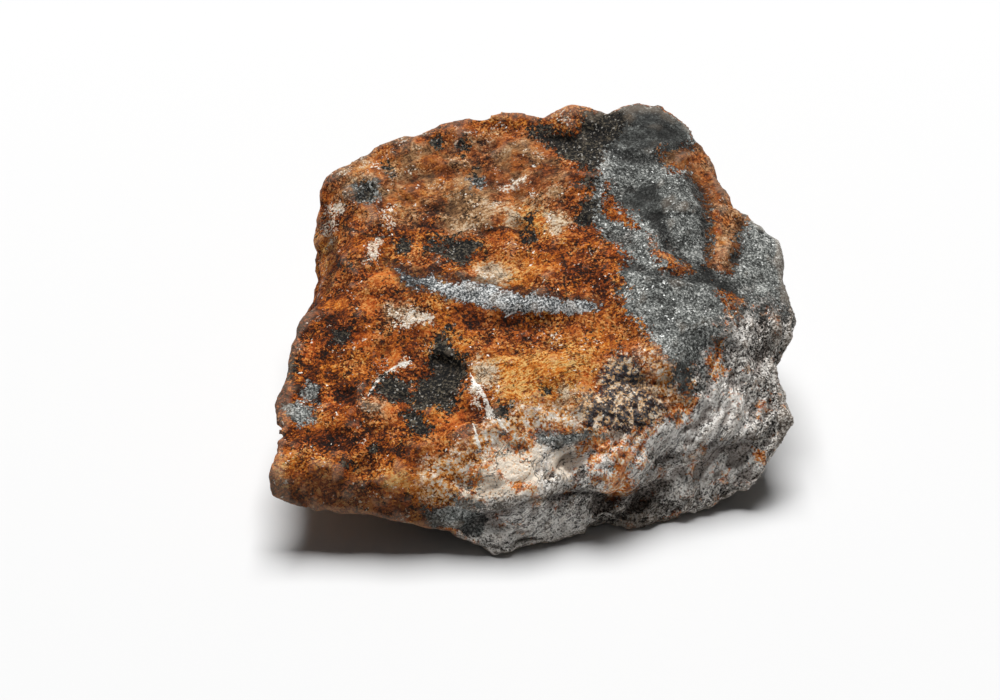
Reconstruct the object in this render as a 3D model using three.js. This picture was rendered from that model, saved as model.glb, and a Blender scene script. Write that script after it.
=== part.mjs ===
// A hand specimen of copper ore: one broken lump of banded host rock with a rust-stained upper
// face and a grey, sulphide-rich right end. It is a single stone, so it is a single closed solid.
// Millimetres, +Z up, +X to the right, and the fresh broken front looks towards -Y.
//
// The stone is drawn as a rough polyhedron from hand-placed corners, its faces are divided into
// small triangles, and relief is pushed out of them along the surface normal: rolling lumps,
// ledges where the broken sides cut the layering, and a few weathered-out pits.

import * as THREE from 'three';
import { ConvexHull } from 'three/addons/math/ConvexHull.js';
import { ImprovedNoise } from 'three/addons/math/ImprovedNoise.js';
import { TessellateModifier } from 'three/addons/modifiers/TessellateModifier.js';
import { mergeVertices } from 'three/addons/utils/BufferGeometryUtils.js';

// ---------------------------------------------------------------- driving dimensions

const FACET_EDGE = 3.2;        // longest edge of a facet before relief is added
const FACET_PASSES = 12;       // halvings that bring the longest face edge under FACET_EDGE
const WELD = 0.001;            // points closer than this are one point
const BASE_HEIGHT = 0.6;       // everything below this is ground flat: the stone rests there

const EDGE_WEAR_PASSES = 2;    // rounding of the broken edges, in passes of shrink and swell
const EDGE_WEAR = 0.45;        // share of the way a pass moves a point to its neighbours
const NORMAL_PASSES = 3;       // evening out of the directions in which relief is pushed out
const NORMAL_BLEND = 0.5;      // share of its neighbours that each pass mixes into a direction

const LUMPS = [                // rolling relief: size of a lump, its height, and its noise seed
  { size: 15, height: 1.0, seed: 3.7 },
  { size: 7.5, height: 0.8, seed: 4.7 },
  { size: 4.2, height: 0.45, seed: 5.7 },
];

const LAYER_NORMAL = new THREE.Vector3(-0.08, -0.37, 1).normalize();  // across the layering
const LEDGE_SPACING = 5.5;     // between ledges, measured across the layering
const LEDGE_DEPTH = 0.8;
const LEDGE_WANDER = 5;        // how far a ledge strays from a true plane
const LEDGE_REACH = 13;        // a ledge runs about this far before it dies out
const LEDGE_SHARE = 0.7;       // mean strength of a ledge, as a share of LEDGE_DEPTH
const WANDER_SEED = 9.1;
const STRENGTH_SEED = 5.3;

const PITS = [                 // weathered hollows: middle, radius and depth
  { at: [-15.5, -16.5, 20], radius: 5.5, depth: 1.3 },
  { at: [-22, -18, 18.5], radius: 3.5, depth: 0.9 },
  { at: [-13, 6.5, 29], radius: 4, depth: 0.8 },
  { at: [5, 24, 37], radius: 4.5, depth: 0.9 },
  { at: [14, 12, 35], radius: 4, depth: 0.8 },
  { at: [17, -27.5, 6], radius: 4.5, depth: 1.4 },
];
const PIT_STEEPNESS = 2;       // how quickly a pit's wall rises towards its rim

// ---------------------------------------------------------------- corners of the stone
//
// Each group follows one edge or face of the stone, placed by hand to the nearest half
// millimetre. Heights are above the ground that it rests on.

const CORE = new THREE.Vector3(0, 0, 17);   // every corner can be seen from here

// From the thin front left tip back to the notch.
const leftEdge = [
  [-40, -32, 13], [-40, -28.5, 14.5], [-39.5, -23.5, 16], [-40, -19.5, 16.5],
  [-39, -17, 18.5], [-38, -11, 21], [-37, -5, 23], [-34.5, 0.5, 24.5],
];

// The edge of the upper face where a piece has broken away behind the tip.
const leftNotch = [
  [-32, 3.5, 26.5], [-29.5, 8.5, 29], [-29.5, 15, 31.5],
];

// The rounded lobe left standing behind the notch.
const rearLeftLobe = [
  [-34.5, 13.5, 21.5], [-36, 16.5, 24.5], [-35, 19.5, 28.5], [-34.5, 22, 31.5],
  [-31, 23.5, 34.5],
];

// The highest rim, from left to right, with the small teeth of its broken edge.
const crest = [
  [-24.5, 27, 36.5], [-19, 27.5, 37], [-15.5, 29, 38.5], [-10, 30, 38.5], [-4, 30.5, 40],
  [1, 29.5, 39], [6, 30.5, 41.5], [11.5, 29.5, 40], [16.5, 31, 41.5], [21.5, 30, 41],
  [24.5, 28.5, 39.5], [26.5, 26, 37.5],
];

// Down the right end: two steps, an overhanging beak, a bite below it and a blunt corner.
const rightEdge = [
  [28.5, 20.5, 34.5], [29, 16.5, 33.5], [31.5, 14, 31.5], [34.5, 12.5, 30.5],
  [38, 9.5, 28], [38, 4, 26], [39, -1, 24], [39.5, -5, 21.5], [38.5, -6.5, 20],
  [35.5, -9, 18.5], [35.5, -11, 17], [37.5, -15, 14.5], [38, -17.5, 12.5],
  [36.5, -21, 10], [34.5, -22.5, 7.5], [33, -24, 5],
];

// Where the upper face rolls over into the broken front.
const frontShoulder = [
  [-35.5, -29, 14.5], [-30.5, -31, 14], [-24, -32, 13.5], [-18, -32, 13.5],
  [-10.5, -30.5, 14], [-3.5, -28.5, 15.5], [4, -26, 17], [10, -23.5, 19],
  [15.5, -20, 20.5], [22, -16.5, 21.5], [29, -12, 22],
];

// The lower rim of the front, from the hovering left tip to the right corner.
const foot = [
  [-40, -32.5, 10.5], [-37.5, -32.5, 9], [-34.5, -33, 7.5], [-28.5, -33.5, 7],
  [-22.5, -33.5, 6], [-16.5, -34, 4.5], [-11.5, -34.5, 3.5], [-9, -35, 2.5],
  [-6, -35.5, 1.5], [0.5, -33.5, 1.5], [6, -31.5, 1.5], [10, -30, 3], [15, -29.5, 1.5],
  [18, -28.5, 1.5], [22.5, -27, 2], [27, -25.5, 2.5], [31.5, -24, 3.5],
];

// The crease along the front, the nose that juts out over it, and the bay beside the nose.
const frontFace = [
  [-35.5, -31.5, 11], [-30, -32.5, 10.5], [-22.5, -33.5, 10], [-13.5, -33.5, 9],
  [-6, -33.5, 9], [-3, -33, 9.5], [3, -32, 9.5], [8, -31.5, 9.5], [15.5, -26.5, 12],
  [22, -23.5, 12.5], [27.5, -20.5, 13], [33.5, -16.5, 14.5], [22.5, -25.5, 7],
  [30.5, -22, 7], [10.5, -29, 6.5], [16.5, -28, 5],
];

// The upper face falls about twenty degrees towards the front.
const rustyTop = [
  [-22, 16, 32], [-11, 19, 33.5], [0, 19.5, 35], [8, 20, 37],
  [-25, 4.5, 28], [-14, 6, 29], [-3, 6, 30.5], [8, 6.5, 32],
  [-30.5, -6, 23.5], [-21.5, -7, 24], [-32, -17.5, 18.5], [-21, -20, 18.5],
  [-12, -19.5, 20], [0, -19, 21.5], [8.5, -17.5, 23.5],
  [-31.5, -24.5, 16.5], [-24, -27, 15.5], [-13.5, -27, 17], [-3, -24.5, 19.5],
];

// A hard vein stands up as a low ledge across the upper face.
const veinLedge = [
  [-23.5, 2.5, 27.5], [-9.5, -5, 26], [0, -6.5, 26.5], [8.5, -7, 27],
  [-9.5, -7.5, 24], [0, -9, 24.5], [7.5, -9.5, 25.5],
];

// The grey end is a dome behind and slopes away to the right.
const greyEnd = [
  [17.5, 20.5, 38], [23.5, 12, 34], [28, 2.5, 29], [17, 0, 31], [15, -9.5, 27.5],
  [24, -10.5, 26.5], [17.5, -16, 25], [32, -4, 26], [35, -7.5, 23],
];

// The back is a plain break in two tiers.
const backFace = [
  [-30, 31, 23.5], [-18, 35, 25.5], [-4, 36, 26.5], [10, 35.5, 27.5], [22, 32, 25.5],
  [31, 25, 22.5], [37, 17, 19.5], [38, 7, 15.5],
  [-31, 27, 10.5], [-20, 33, 9.5], [-6, 34, 8.5], [8, 34.5, 10.5], [20, 31, 9.5],
  [30, 23, 8.5], [36, 12, 7.5], [36.5, 1, 7.5], [36, -10, 7.5], [34.5, -6, 13],
];

// The left side is undercut, so the front left tip hovers clear of the ground.
const leftSide = [
  [-38, -12, 14.5], [-37, -2, 15.5], [-36, 8, 13.5], [-35, 16, 14.5],
  [-30, -18, 6.5], [-33, -2, 7.5], [-34, 8, 8.5], [-28, -28, 6.5],
];

// The rim of the resting face, then points within it.
const underside = [
  [-6, -30, 0], [6, -26.5, 0], [15, -24.5, 0], [24, -20.5, 0], [31, -12, 0],
  [33, 2, 0], [27, 13, 0], [20, 24, 0], [4, 27, 0], [-10, 29, 0], [-20, 21, 0],
  [-22, 6, 0], [-18, -8, 0], [-15, -22, 0],
  [0, 0, 0], [10, 10, 0], [-8, 12, 0], [12, -12, 0], [-6, -15, 0],
];

const CORNERS = [
  leftEdge, leftNotch, rearLeftLobe, crest, rightEdge, frontShoulder, foot, frontFace,
  rustyTop, veinLedge, greyEnd, backFace, leftSide, underside,
].flat().map((corner) => new THREE.Vector3(...corner));

// ---------------------------------------------------------------- from corners to facets

// The faces that join the corners are those of the hull of their directions from the core.
function roughStone(corners, core) {
  const cornerOf = new Map();
  for (const corner of corners) {
    cornerOf.set(corner.clone().sub(core).normalize(), corner);
  }
  const hull = new ConvexHull().setFromPoints([...cornerOf.keys()]);
  const positions = [];
  for (const face of hull.faces) {
    let edge = face.edge;
    do {
      positions.push(...cornerOf.get(edge.head().point).toArray());
      edge = edge.next;
    } while (edge !== face.edge);
  }
  const geometry = new THREE.BufferGeometry();
  geometry.setAttribute('position', new THREE.Float32BufferAttribute(positions, 3));
  return geometry;
}

// Halves long edges until every facet is small, then joins the facets into one closed skin.
function divide(geometry) {
  return mergeVertices(new TessellateModifier(FACET_EDGE, FACET_PASSES).modify(geometry), WELD);
}

function neighboursOf(geometry) {
  const index = geometry.index.array;
  const neighbours = Array.from({ length: geometry.attributes.position.count }, () => new Set());
  for (let i = 0; i < index.length; i += 3) {
    const triangle = [index[i], index[i + 1], index[i + 2]];
    triangle.forEach((from, k) => {
      neighbours[from].add(triangle[(k + 1) % 3]);
      neighbours[from].add(triangle[(k + 2) % 3]);
    });
  }
  return neighbours;
}

// Moves each vector by a share of the way to the mean of its neighbours, a number of times over.
function smooth(vectors, neighbours, share, passes = 1) {
  let current = vectors;
  for (let pass = 0; pass < passes; pass += 1) {
    const before = current;
    current = before.map((vector, i) => {
      const mean = new THREE.Vector3();
      neighbours[i].forEach((j) => mean.add(before[j]));
      return vector.clone().lerp(mean.divideScalar(neighbours[i].size), share);
    });
  }
  return current;
}

function readVectors(attribute) {
  return Array.from({ length: attribute.count },
    (_, i) => new THREE.Vector3().fromBufferAttribute(attribute, i));
}

// ---------------------------------------------------------------- relief

const perlin = new ImprovedNoise();

function noiseAt(point, size, seed) {
  return perlin.noise(point.x / size + seed, point.y / size - seed, point.z / size + 2 * seed);
}

function lumps(point) {
  return LUMPS.reduce((sum, { size, height, seed }) => sum + height * noiseAt(point, size, seed), 0);
}

// Ledges stand out where the surface cuts across the layers and fade out where it follows them.
function ledges(point, normal) {
  const wander = LEDGE_WANDER * noiseAt(point, LEDGE_REACH, WANDER_SEED);
  const turns = (point.dot(LAYER_NORMAL) + wander) / LEDGE_SPACING;
  const tooth = Math.abs(2 * THREE.MathUtils.euclideanModulo(turns, 1) - 1);
  const cut = 1 - normal.dot(LAYER_NORMAL) ** 2;
  const strength = LEDGE_SHARE + noiseAt(point, LEDGE_REACH, STRENGTH_SEED);
  return LEDGE_DEPTH * cut * strength * (tooth - 0.5);
}

function pits(point) {
  return PITS.reduce((sum, { at, radius, depth }) => {
    const reach = point.distanceTo(new THREE.Vector3(...at)) / radius;
    return sum - depth * Math.exp(-PIT_STEEPNESS * reach * reach);
  }, 0);
}

// Wears the broken edges, pushes the relief out and grinds the underside flat.
function weather(geometry) {
  const neighbours = neighboursOf(geometry);
  const position = geometry.attributes.position;
  let points = readVectors(position);
  for (let pass = 0; pass < EDGE_WEAR_PASSES; pass += 1) {
    points = smooth(smooth(points, neighbours, EDGE_WEAR), neighbours, -EDGE_WEAR);
  }
  points.forEach((point, i) => position.setXYZ(i, point.x, point.y, point.z));
  geometry.computeVertexNormals();
  const rough = readVectors(geometry.attributes.normal);
  const normals = smooth(rough, neighbours, NORMAL_BLEND, NORMAL_PASSES);
  points.forEach((point, i) => {
    const normal = normals[i].normalize();
    const rise = lumps(point) + ledges(point, normal) + pits(point);
    point.addScaledVector(normal, rise);
    position.setXYZ(i, point.x, point.y, Math.max(point.z, BASE_HEIGHT));
  });
  geometry.deleteAttribute('normal');
}

// ---------------------------------------------------------------- the stone

function oreStone() {
  const geometry = divide(roughStone(CORNERS, CORE));
  weather(geometry);
  geometry.computeBoundingBox();
  const box = geometry.boundingBox;
  const middle = box.getCenter(new THREE.Vector3());
  geometry.translate(-middle.x, -middle.y, -box.min.z);
  geometry.computeVertexNormals();
  const rustyRock = new THREE.MeshStandardMaterial({
    color: 0x7f5f49,
    roughness: 0.85,
    metalness: 0.05,
    flatShading: true,
  });
  const stone = new THREE.Mesh(geometry, rustyRock);
  stone.name = 'ore_stone';
  return stone;
}

const specimen = new THREE.Group();
specimen.add(oreStone());

export default specimen;
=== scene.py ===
# %% [markdown]
# # A hand specimen of copper ore
# The object is one rough stone, about 80 mm long: grey rock and grey sulphide under a crust of rust.
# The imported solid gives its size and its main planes. This lesson copies that solid, sculpts the fine
# relief on the copy, marks which mineral lies where, and paints each mineral with nodes.
# Lengths on the stone are in millimetres until they are written to its mesh. The floor and the lamp
# are in metres, Blender's own unit.

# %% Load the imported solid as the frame
from math import cos, radians, sin

import bmesh
import bpy
import numpy as np
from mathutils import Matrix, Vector, noise


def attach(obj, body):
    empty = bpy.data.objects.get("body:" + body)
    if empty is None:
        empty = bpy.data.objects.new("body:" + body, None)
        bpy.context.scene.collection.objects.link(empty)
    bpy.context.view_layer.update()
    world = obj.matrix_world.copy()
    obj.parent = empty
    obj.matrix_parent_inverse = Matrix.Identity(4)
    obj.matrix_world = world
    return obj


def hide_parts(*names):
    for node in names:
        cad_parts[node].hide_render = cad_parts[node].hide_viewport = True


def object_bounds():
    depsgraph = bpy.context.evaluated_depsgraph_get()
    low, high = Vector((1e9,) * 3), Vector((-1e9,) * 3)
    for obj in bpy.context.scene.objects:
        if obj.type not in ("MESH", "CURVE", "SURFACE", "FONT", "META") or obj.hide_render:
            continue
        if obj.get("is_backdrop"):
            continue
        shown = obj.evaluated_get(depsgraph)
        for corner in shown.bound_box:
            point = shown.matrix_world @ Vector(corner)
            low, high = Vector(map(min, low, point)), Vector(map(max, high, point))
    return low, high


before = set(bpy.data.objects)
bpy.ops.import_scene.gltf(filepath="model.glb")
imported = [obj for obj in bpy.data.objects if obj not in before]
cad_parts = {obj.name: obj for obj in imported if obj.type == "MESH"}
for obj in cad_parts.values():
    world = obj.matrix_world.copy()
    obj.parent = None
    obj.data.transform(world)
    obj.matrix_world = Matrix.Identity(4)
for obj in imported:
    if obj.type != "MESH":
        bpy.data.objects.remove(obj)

MM = 0.001
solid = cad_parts["ore_stone"]
solid_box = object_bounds()
print("solid box in mm:", [round((b - a) / MM, 2) for a, b in zip(*solid_box)])

# %% [markdown]
# ## The camera
# The stone is seen from in front and above, as a collector looks at it on a table, through a long lens
# that keeps its proportions. The camera could aim with a Track To constraint, but a fixed place and
# tilt are easier to read: it looks along +Y and 35 degrees down.

# %% Place the camera
CAMERA_TILT = 35
CAMERA_PLACE = (-6.154, -305.37, 226.81)

camera_data = bpy.data.cameras.new("camera")
camera_data.lens = 85
camera_data.sensor_width = 36
camera = bpy.data.objects.new("camera", camera_data)
camera.location = Vector(CAMERA_PLACE) * MM
camera.rotation_euler = (radians(90 - CAMERA_TILT), 0, 0)
bpy.context.scene.collection.objects.link(camera)
bpy.context.scene.camera = camera
print("camera at", [round(c, 3) for c in camera.location])

# %% [markdown]
# ## An even, fine net
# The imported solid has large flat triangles, and relief needs points everywhere. Subdividing keeps the
# long triangles long. A voxel remesh lays one even net over the whole stone instead, about 0.4 mm
# from point to point, so that a ridge comes out the same on every side.

# %% Copy the solid and remesh the copy
VOXEL = 0.44

net = bmesh.new()
net.from_mesh(solid.data)
bmesh.ops.remove_doubles(net, verts=net.verts, dist=1e-6)
rough = bpy.data.meshes.new("rough_net")
net.to_mesh(rough)
net.free()
stone = bpy.data.objects.new("weathered_stone", rough)
bpy.context.scene.collection.objects.link(stone)
remesh = stone.modifiers.new("even_net", "REMESH")
remesh.mode = "VOXEL"
remesh.voxel_size = VOXEL * MM
evaluated = stone.evaluated_get(bpy.context.evaluated_depsgraph_get())
stone.data = bpy.data.meshes.new_from_object(evaluated)
stone.modifiers.clear()
mesh = stone.data
print("points:", len(mesh.vertices), " triangles:", sum(len(p.vertices) - 2 for p in mesh.polygons))

# %% [markdown]
# ## Points and normals as arrays
# Loops in Python over a hundred thousand points are slow, so the points are kept as one NumPy array
# and written back at the end. Small helpers read and write the points, read the normals, and take
# the mean of each point's neighbours.

# %% Read the net and define the helpers
edges = np.zeros(len(mesh.edges) * 2, np.int32)
mesh.edges.foreach_get("vertices", edges)
edges = edges.reshape(-1, 2)


def read_points():
    points = np.zeros(len(mesh.vertices) * 3)
    mesh.vertices.foreach_get("co", points)
    return points.reshape(-1, 3) / MM


def write_points(points):
    mesh.vertices.foreach_set("co", (points * MM).ravel())
    mesh.update()


def read_normals():
    normals = np.zeros(len(mesh.vertices) * 3)
    mesh.vertices.foreach_get("normal", normals)
    return normals.reshape(-1, 3)


valence = np.bincount(edges.ravel(), minlength=len(mesh.vertices))


def neighbour_mean(values):
    """The mean of each point's neighbours, for numbers or for vectors."""
    columns = values.reshape(len(values), -1)
    summed = np.empty_like(columns)
    for k in range(columns.shape[1]):
        column = columns[:, k]
        summed[:, k] = np.bincount(edges[:, 0], column[edges[:, 1]], len(values))
        summed[:, k] += np.bincount(edges[:, 1], column[edges[:, 0]], len(values))
    return (summed / valence[:, None]).reshape(values.shape)


print("edges:", len(edges), " neighbours per point:", round(float(valence.mean()), 2))

# %% [markdown]
# ## Smooth away the facets
# Plain smoothing shrinks a stone a little with every pass. Here each pass that pulls the points in
# is followed by one that pushes them out (Taubin smoothing), so that the facets go and the size stays.

# %% Smooth the net
SMOOTHING_PASSES = 9
PULL_IN = 0.5
PUSH_OUT = 0.52

points = read_points()
for _ in range(SMOOTHING_PASSES):
    points += PULL_IN * (neighbour_mean(points) - points)
    points -= PUSH_OUT * (neighbour_mean(points) - points)
write_points(points)
print("smoothed box in mm:", np.round(points.max(0) - points.min(0), 2))

# %% [markdown]
# ## A board for the marks
# The minerals lie in patches with clear borders: a rust crust on the left, grey ore on the right, a
# grey vein through the crust, black and white grains. They could be painted by hand in Texture Paint,
# but a script can't. Instead each border is a short list of corners on a drawing board, which leans
# as the camera does: x to the right and "up" along the tilted board, both in mm. Every point of the
# net that faces the board is to learn how far inside each border it lies.

# %% Project the net on the board
TOWARDS_CAMERA = np.array([0, -cos(radians(CAMERA_TILT)), sin(radians(CAMERA_TILT))])
UP_THE_BOARD = np.array([0, sin(radians(CAMERA_TILT)), cos(radians(CAMERA_TILT))])
BROAD_PASSES = 20

normals = read_normals()
broad_normals = normals
for _ in range(BROAD_PASSES):
    broad_normals = neighbour_mean(broad_normals)
broad_normals /= np.linalg.norm(broad_normals, axis=1)[:, None]
board = np.column_stack([points[:, 0], points @ UP_THE_BOARD])


def ease(values, low, high):
    """0 below low, 1 above high, and an S-curve between."""
    t = np.clip((values - low) / (high - low), 0, 1)
    return t * t * (3 - 2 * t)


seen = ease(broad_normals @ TOWARDS_CAMERA, -0.05, 0.2)
print("share of the surface that faces the board:", round(float(seen.mean()), 2))

# %% [markdown]
# ## Distances on the board
# All outlines and lines are made of straight pieces, so one helper measures the distance to a piece and
# says on which side of it each point lies. An outline has a point inside when a ray to the right
# crosses its pieces an odd number of times.

# %% Helpers for distances on the board
FAR = 99.0


def to_piece(start, end):
    """The distance in mm from each point to a straight piece, and whether the point is on its left."""
    x, y = (board - start).T
    run, rise = end[0] - start[0], end[1] - start[1]
    t = np.clip((x * run + y * rise) / (run * run + rise * rise), 0, 1)
    return np.hypot(x - t * run, y - t * rise), run * y > rise * x


def inside(*outlines):
    """How many mm each board point lies inside the nearest outline; outside is negative."""
    up = board[:, 1]
    deepest = np.full(len(board), -FAR)
    for outline in outlines:
        nearest = np.full(len(board), FAR)
        within = np.zeros(len(board), bool)
        for start, end in zip(outline, outline[1:] + outline[:1]):
            distance, on_left = to_piece(start, end)
            nearest = np.minimum(nearest, distance)
            crossed = (start[1] > up) != (end[1] > up)
            within ^= crossed & (on_left == (end[1] > start[1]))
        deepest = np.maximum(deepest, np.where(within, nearest, -nearest))
    return deepest


def near(spots):
    """The same for round spots, each given as (x, up, radius)."""
    return np.max([radius - np.hypot(*(board - place).T) for *place, radius in spots], axis=0)


def beside(lines):
    """The distance in mm to the nearest line: positive on its left, negative on its right."""
    nearest = np.full(len(board), FAR)
    for line in lines:
        for start, end in zip(line, line[1:]):
            distance, on_left = to_piece(start, end)
            signed = np.where(on_left, distance, -distance)
            nearest = np.where(np.abs(signed) < np.abs(nearest), signed, nearest)
    return nearest


# %% [markdown]
# ## Noise for the sides that the board doesn't reach
# The back, the underside and the far left get their patches from smooth noise: values from about -1
# to 1 with lumps of a chosen size. Blender's mathutils.noise gives it at any point of space, with no
# seam. The same helper makes relief later.

# %% Noise helpers
MARK_LIMIT = 9
NOISE_REACH = 5
marks = {}


def lumps(places, size, octaves=4, seed=0.0):
    """Fractal noise, about -1 to 1, with lumps of the given size in mm."""
    spots = (places / size + [seed, seed * 1.7, -seed]).tolist()
    return np.array([noise.fractal(spot, 0.8, 2.0, octaves) for spot in spots])


def on_all_sides(on_board, elsewhere=-MARK_LIMIT):
    """Board distances where the board sees the stone, and other values where it doesn't."""
    return np.clip(on_board * seen + elsewhere * (1 - seen), -MARK_LIMIT, MARK_LIMIT)


def soft(on_board, size, seed, shift):
    """A mark whose other values are noise; the lower the shift, the smaller its share there."""
    return on_all_sides(on_board, NOISE_REACH * lumps(points, size, seed=seed) + shift)


def shares(*names):
    """The share of the points that have each mark, to print."""
    return ", ".join(f"{name} {(marks[name] > 0).mean():.3f}" for name in names)


# %% [markdown]
# ## Where the rust ends
# The crust covers the left two thirds. Its border with the grey ore runs down the top face and then
# turns along the front, where the bare rock starts. On the hidden sides, rust stays on the upper left
# and thins out downwards and to the right, as water would have left it.

# %% Mark the crust
GREY_ORE = [(10, 51.5), (10.5, 43), (10, 39.5), (9, 36), (8.5, 31), (10.5, 28), (12.5, 26.5), (13.5, 25),
            (12.5, 22.5), (12.5, 18.5), (13, 16.5), (15, 14.5), (16.5, 12.5), (18, 11), (19.5, 9),
            (19.5, 5.5), (21, 2.5), (24, 0), (30, 3), (39, 3), (44, 18), (40, 33.5), (29, 47.5),
            (19.5, 53.5)]
BARE_ROCK = [(-13, -13), (-11.5, -8.5), (-9.5, -5.5), (-6, -2.5), (-1.5, -0.5), (2.5, -0.5), (8.5, -1),
             (14.5, -1.5), (19, 1.5), (22.5, 4.5), (24.5, 8), (26, 10.5), (27, 12.5), (28, 15),
             (31.5, 16.5), (35.5, 17.5), (41, 15), (43, 3), (45, -9), (23.5, -19), (-6, -26), (-15, -18)]
TAN_ON_GREY = [(19, 42), (22, 42.5), (24.5, 43.5), (25.5, 45), (28, 44.5), (31, 33.5), (33.5, 32),
               (32, 30), (31, 26), (29.5, 22.5), (27.5, 22.5), (26, 24), (27, 28), (26.5, 32), (26, 36),
               (24.5, 38.5), (21.5, 39.5)]
RUST_ON_GREY = [
    TAN_ON_GREY,
    [(10.5, 37), (11.5, 34.5), (12.5, 33), (15, 31.5), (14.5, 30), (12.5, 30.5), (10.5, 31), (9.5, 32.5)],
    [(17, 28), (18.5, 26.5), (20.5, 25), (22, 24), (23.5, 23), (21.5, 22.5), (19, 23.5), (17.5, 25)],
    [(27.5, 19.5), (29, 19), (31, 18), (29.5, 17.5)],
]
STAINS = [
    [(7, -2.5), (9.5, -1.5), (10.5, -3.5), (8.5, -6), (7.5, -5)],
    [(8.5, -8.5), (12, -7), (15, -9), (13.5, -11), (10.5, -11.5), (8.5, -10.5)],
    [(11.5, -4.5), (13.5, -4), (15.5, -5.5), (13.5, -7), (11.5, -6.5)],
    [(5, -2.5), (6.5, -1), (7.5, -2.5), (5.5, -4.5)],
    [(7, -8.5), (8.5, -9.5), (10.5, -12), (12.5, -11.5), (15, -10), (14.5, -8), (11, -8), (8.5, -7)],
    [(7, -2), (8.5, -1), (9.5, -3.5), (8.5, -6), (7, -6.5), (6, -4)],
    [(10.5, -4), (12.5, -3.5), (13, -6), (12, -8), (10, -7.5)],
    [(21, 7.5), (22, 9), (23, 5.5), (22.5, 2.5), (21.5, 4)],
    [(19, 2.5), (21, 3.5), (22, 1.5), (19.5, 0)],
    [(26, 13.5), (28, 14.5), (28, 11.5), (27.5, 9.5), (26.5, 10.5)],
    [(26, 9), (27.5, 8.5), (28, 7.5), (26.5, 6.5)],
    [(32, -5.5), (33.5, -4.5), (34.5, -5.5), (34.5, -7), (32.5, -7)],
    [(-4.5, -1.5), (-1.5, -1), (-0.5, -3), (-2, -5), (-4, -4)],
    [(-11.5, -8), (-9.5, -6.5), (-8.5, -8.5), (-10, -10.5)],
    [(-4.5, -9), (-2.5, -8.5), (-1.5, -10), (-3.5, -10.5)],
]

RUST_LINE = 15
ROCK_LINE = 14

across, height = points[:, 0], points[:, 2]
crust_on_board = np.maximum(-inside(GREY_ORE, BARE_ROCK), inside(*RUST_ON_GREY))
crust_behind = 0.28 * (height - RUST_LINE) - 0.10 * across + 4.5 * lumps(points, 14, seed=3.1)
marks["crust"] = on_all_sides(crust_on_board, crust_behind)
rock_behind = 2.0 - 0.12 * (height - ROCK_LINE) + 4.5 * lumps(points, 17, seed=8.4)
marks["bare_rock"] = on_all_sides(inside(BARE_ROCK), rock_behind)
marks["stain"] = soft(inside(*STAINS), 7, 2.2, -3.5)
print("shares of the surface:", shares("crust", "bare_rock", "stain"))

# %% [markdown]
# ## Vein, slate spots and black patches
# A bright grey vein of sulphide, about 3 mm wide, crosses the crust, and its left half is broken up by
# rust. Slate spots are places where grey ore shows through the crust. Black patches are crusts of tiny
# crystals. Away from the board there is no vein, but noise places a few black patches.

# %% Mark the vein, the slate spots and the black patches
VEIN = [(-24, 24.5), (-22, 23.5), (-19, 22.5), (-16.5, 23), (-15.5, 22), (-13, 21.5), (-9, 21),
        (-7, 20.5), (-6, 19.5), (-2.5, 19.5), (1.5, 19), (3.5, 18), (6, 18), (8, 18.5), (9, 17.5),
        (8.5, 16.5), (3.5, 16), (-3.5, 16), (-7, 16.5), (-11, 17.5), (-14, 18), (-16.5, 19), (-19, 19),
        (-21, 20), (-22, 21.5)]
SLATE_SPOTS = [
    [(-36, 5.5), (-34.5, 6), (-33.5, 5), (-33.5, 3), (-35.5, 3)],
    [(-38.5, 1.5), (-36.5, 2.5), (-34, 2), (-33.5, 0), (-35.5, -0.5), (-38, 0)],
    [(-30, 36.5), (-28, 38), (-26, 37.5), (-25, 35.5), (-26, 33.5), (-28.5, 33.5)],
    [(-11.5, 38), (-10, 39), (-8.5, 38), (-9, 36.5), (-11, 36.5)],
    [(-1, -1.5), (2.5, -2), (7, -1.5), (7, -2.5), (2.5, -3.5), (0, -3)],
    [(-17.5, -13), (-14, -12.5), (-10.5, -13), (-8.5, -14.5), (-9, -17), (-11.5, -17), (-14.5, -16),
     (-17, -15)],
    [(-13.5, -11), (-10.5, -11.5), (-7.5, -12), (-4.5, -11.5), (-2.5, -11), (-5.5, -12.5), (-9, -13),
     (-13, -12.5)],
]
BLACK_PATCHES = [
    [(-1.5, 46.5), (2.5, 46), (5, 45.5), (7.5, 48), (10, 49), (12, 50), (14.5, 48), (13, 45), (10.5, 43),
     (10, 39.5), (8.5, 38.5), (6, 40), (3.5, 41.5), (2, 43.5), (-0.5, 45)],
    [(6, 37), (8.5, 38.5), (10, 37.5), (9, 36.5), (7, 36.5)],
    [(7.5, 34.5), (9.5, 34.5), (9.5, 32.5), (8, 30.5), (6.5, 29.5), (6, 30.5), (6.5, 32.5)],
    [(-18, 26), (-17, 27.5), (-15, 28), (-12.5, 28), (-9, 27.5), (-10, 26), (-11.5, 23.5), (-13, 24),
     (-15.5, 25)],
    [(-16, 12.5), (-14, 12.5), (-13, 10.5), (-11, 9.5), (-11, 7), (-12, 4.5), (-13.5, 1.5), (-16, 2),
     (-18, 1), (-19.5, 2.5), (-19.5, 4), (-18.5, 6), (-17, 7), (-17, 9), (-16.5, 10.5)],
    [(-25.5, 4.5), (-23.5, 6.5), (-22.5, 7), (-20.5, 6.5), (-19.5, 5.5), (-19.5, 3), (-21.5, 3),
     (-23.5, 3.5)],
    [(-21, 1), (-19, 2), (-17, 1), (-16.5, -2), (-18, -2.5), (-19.5, -0.5)],
    [(-18, 44), (-16.5, 45.5), (-15, 44.5), (-15.5, 43), (-17.5, 43)],
    [(-13.5, 43.5), (-12, 44), (-11, 43), (-12.5, 42)],
    [(-2, 31.5), (-1, 32), (-0.5, 28.5), (-1.5, 26.5), (-2.5, 28)],
]
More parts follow.
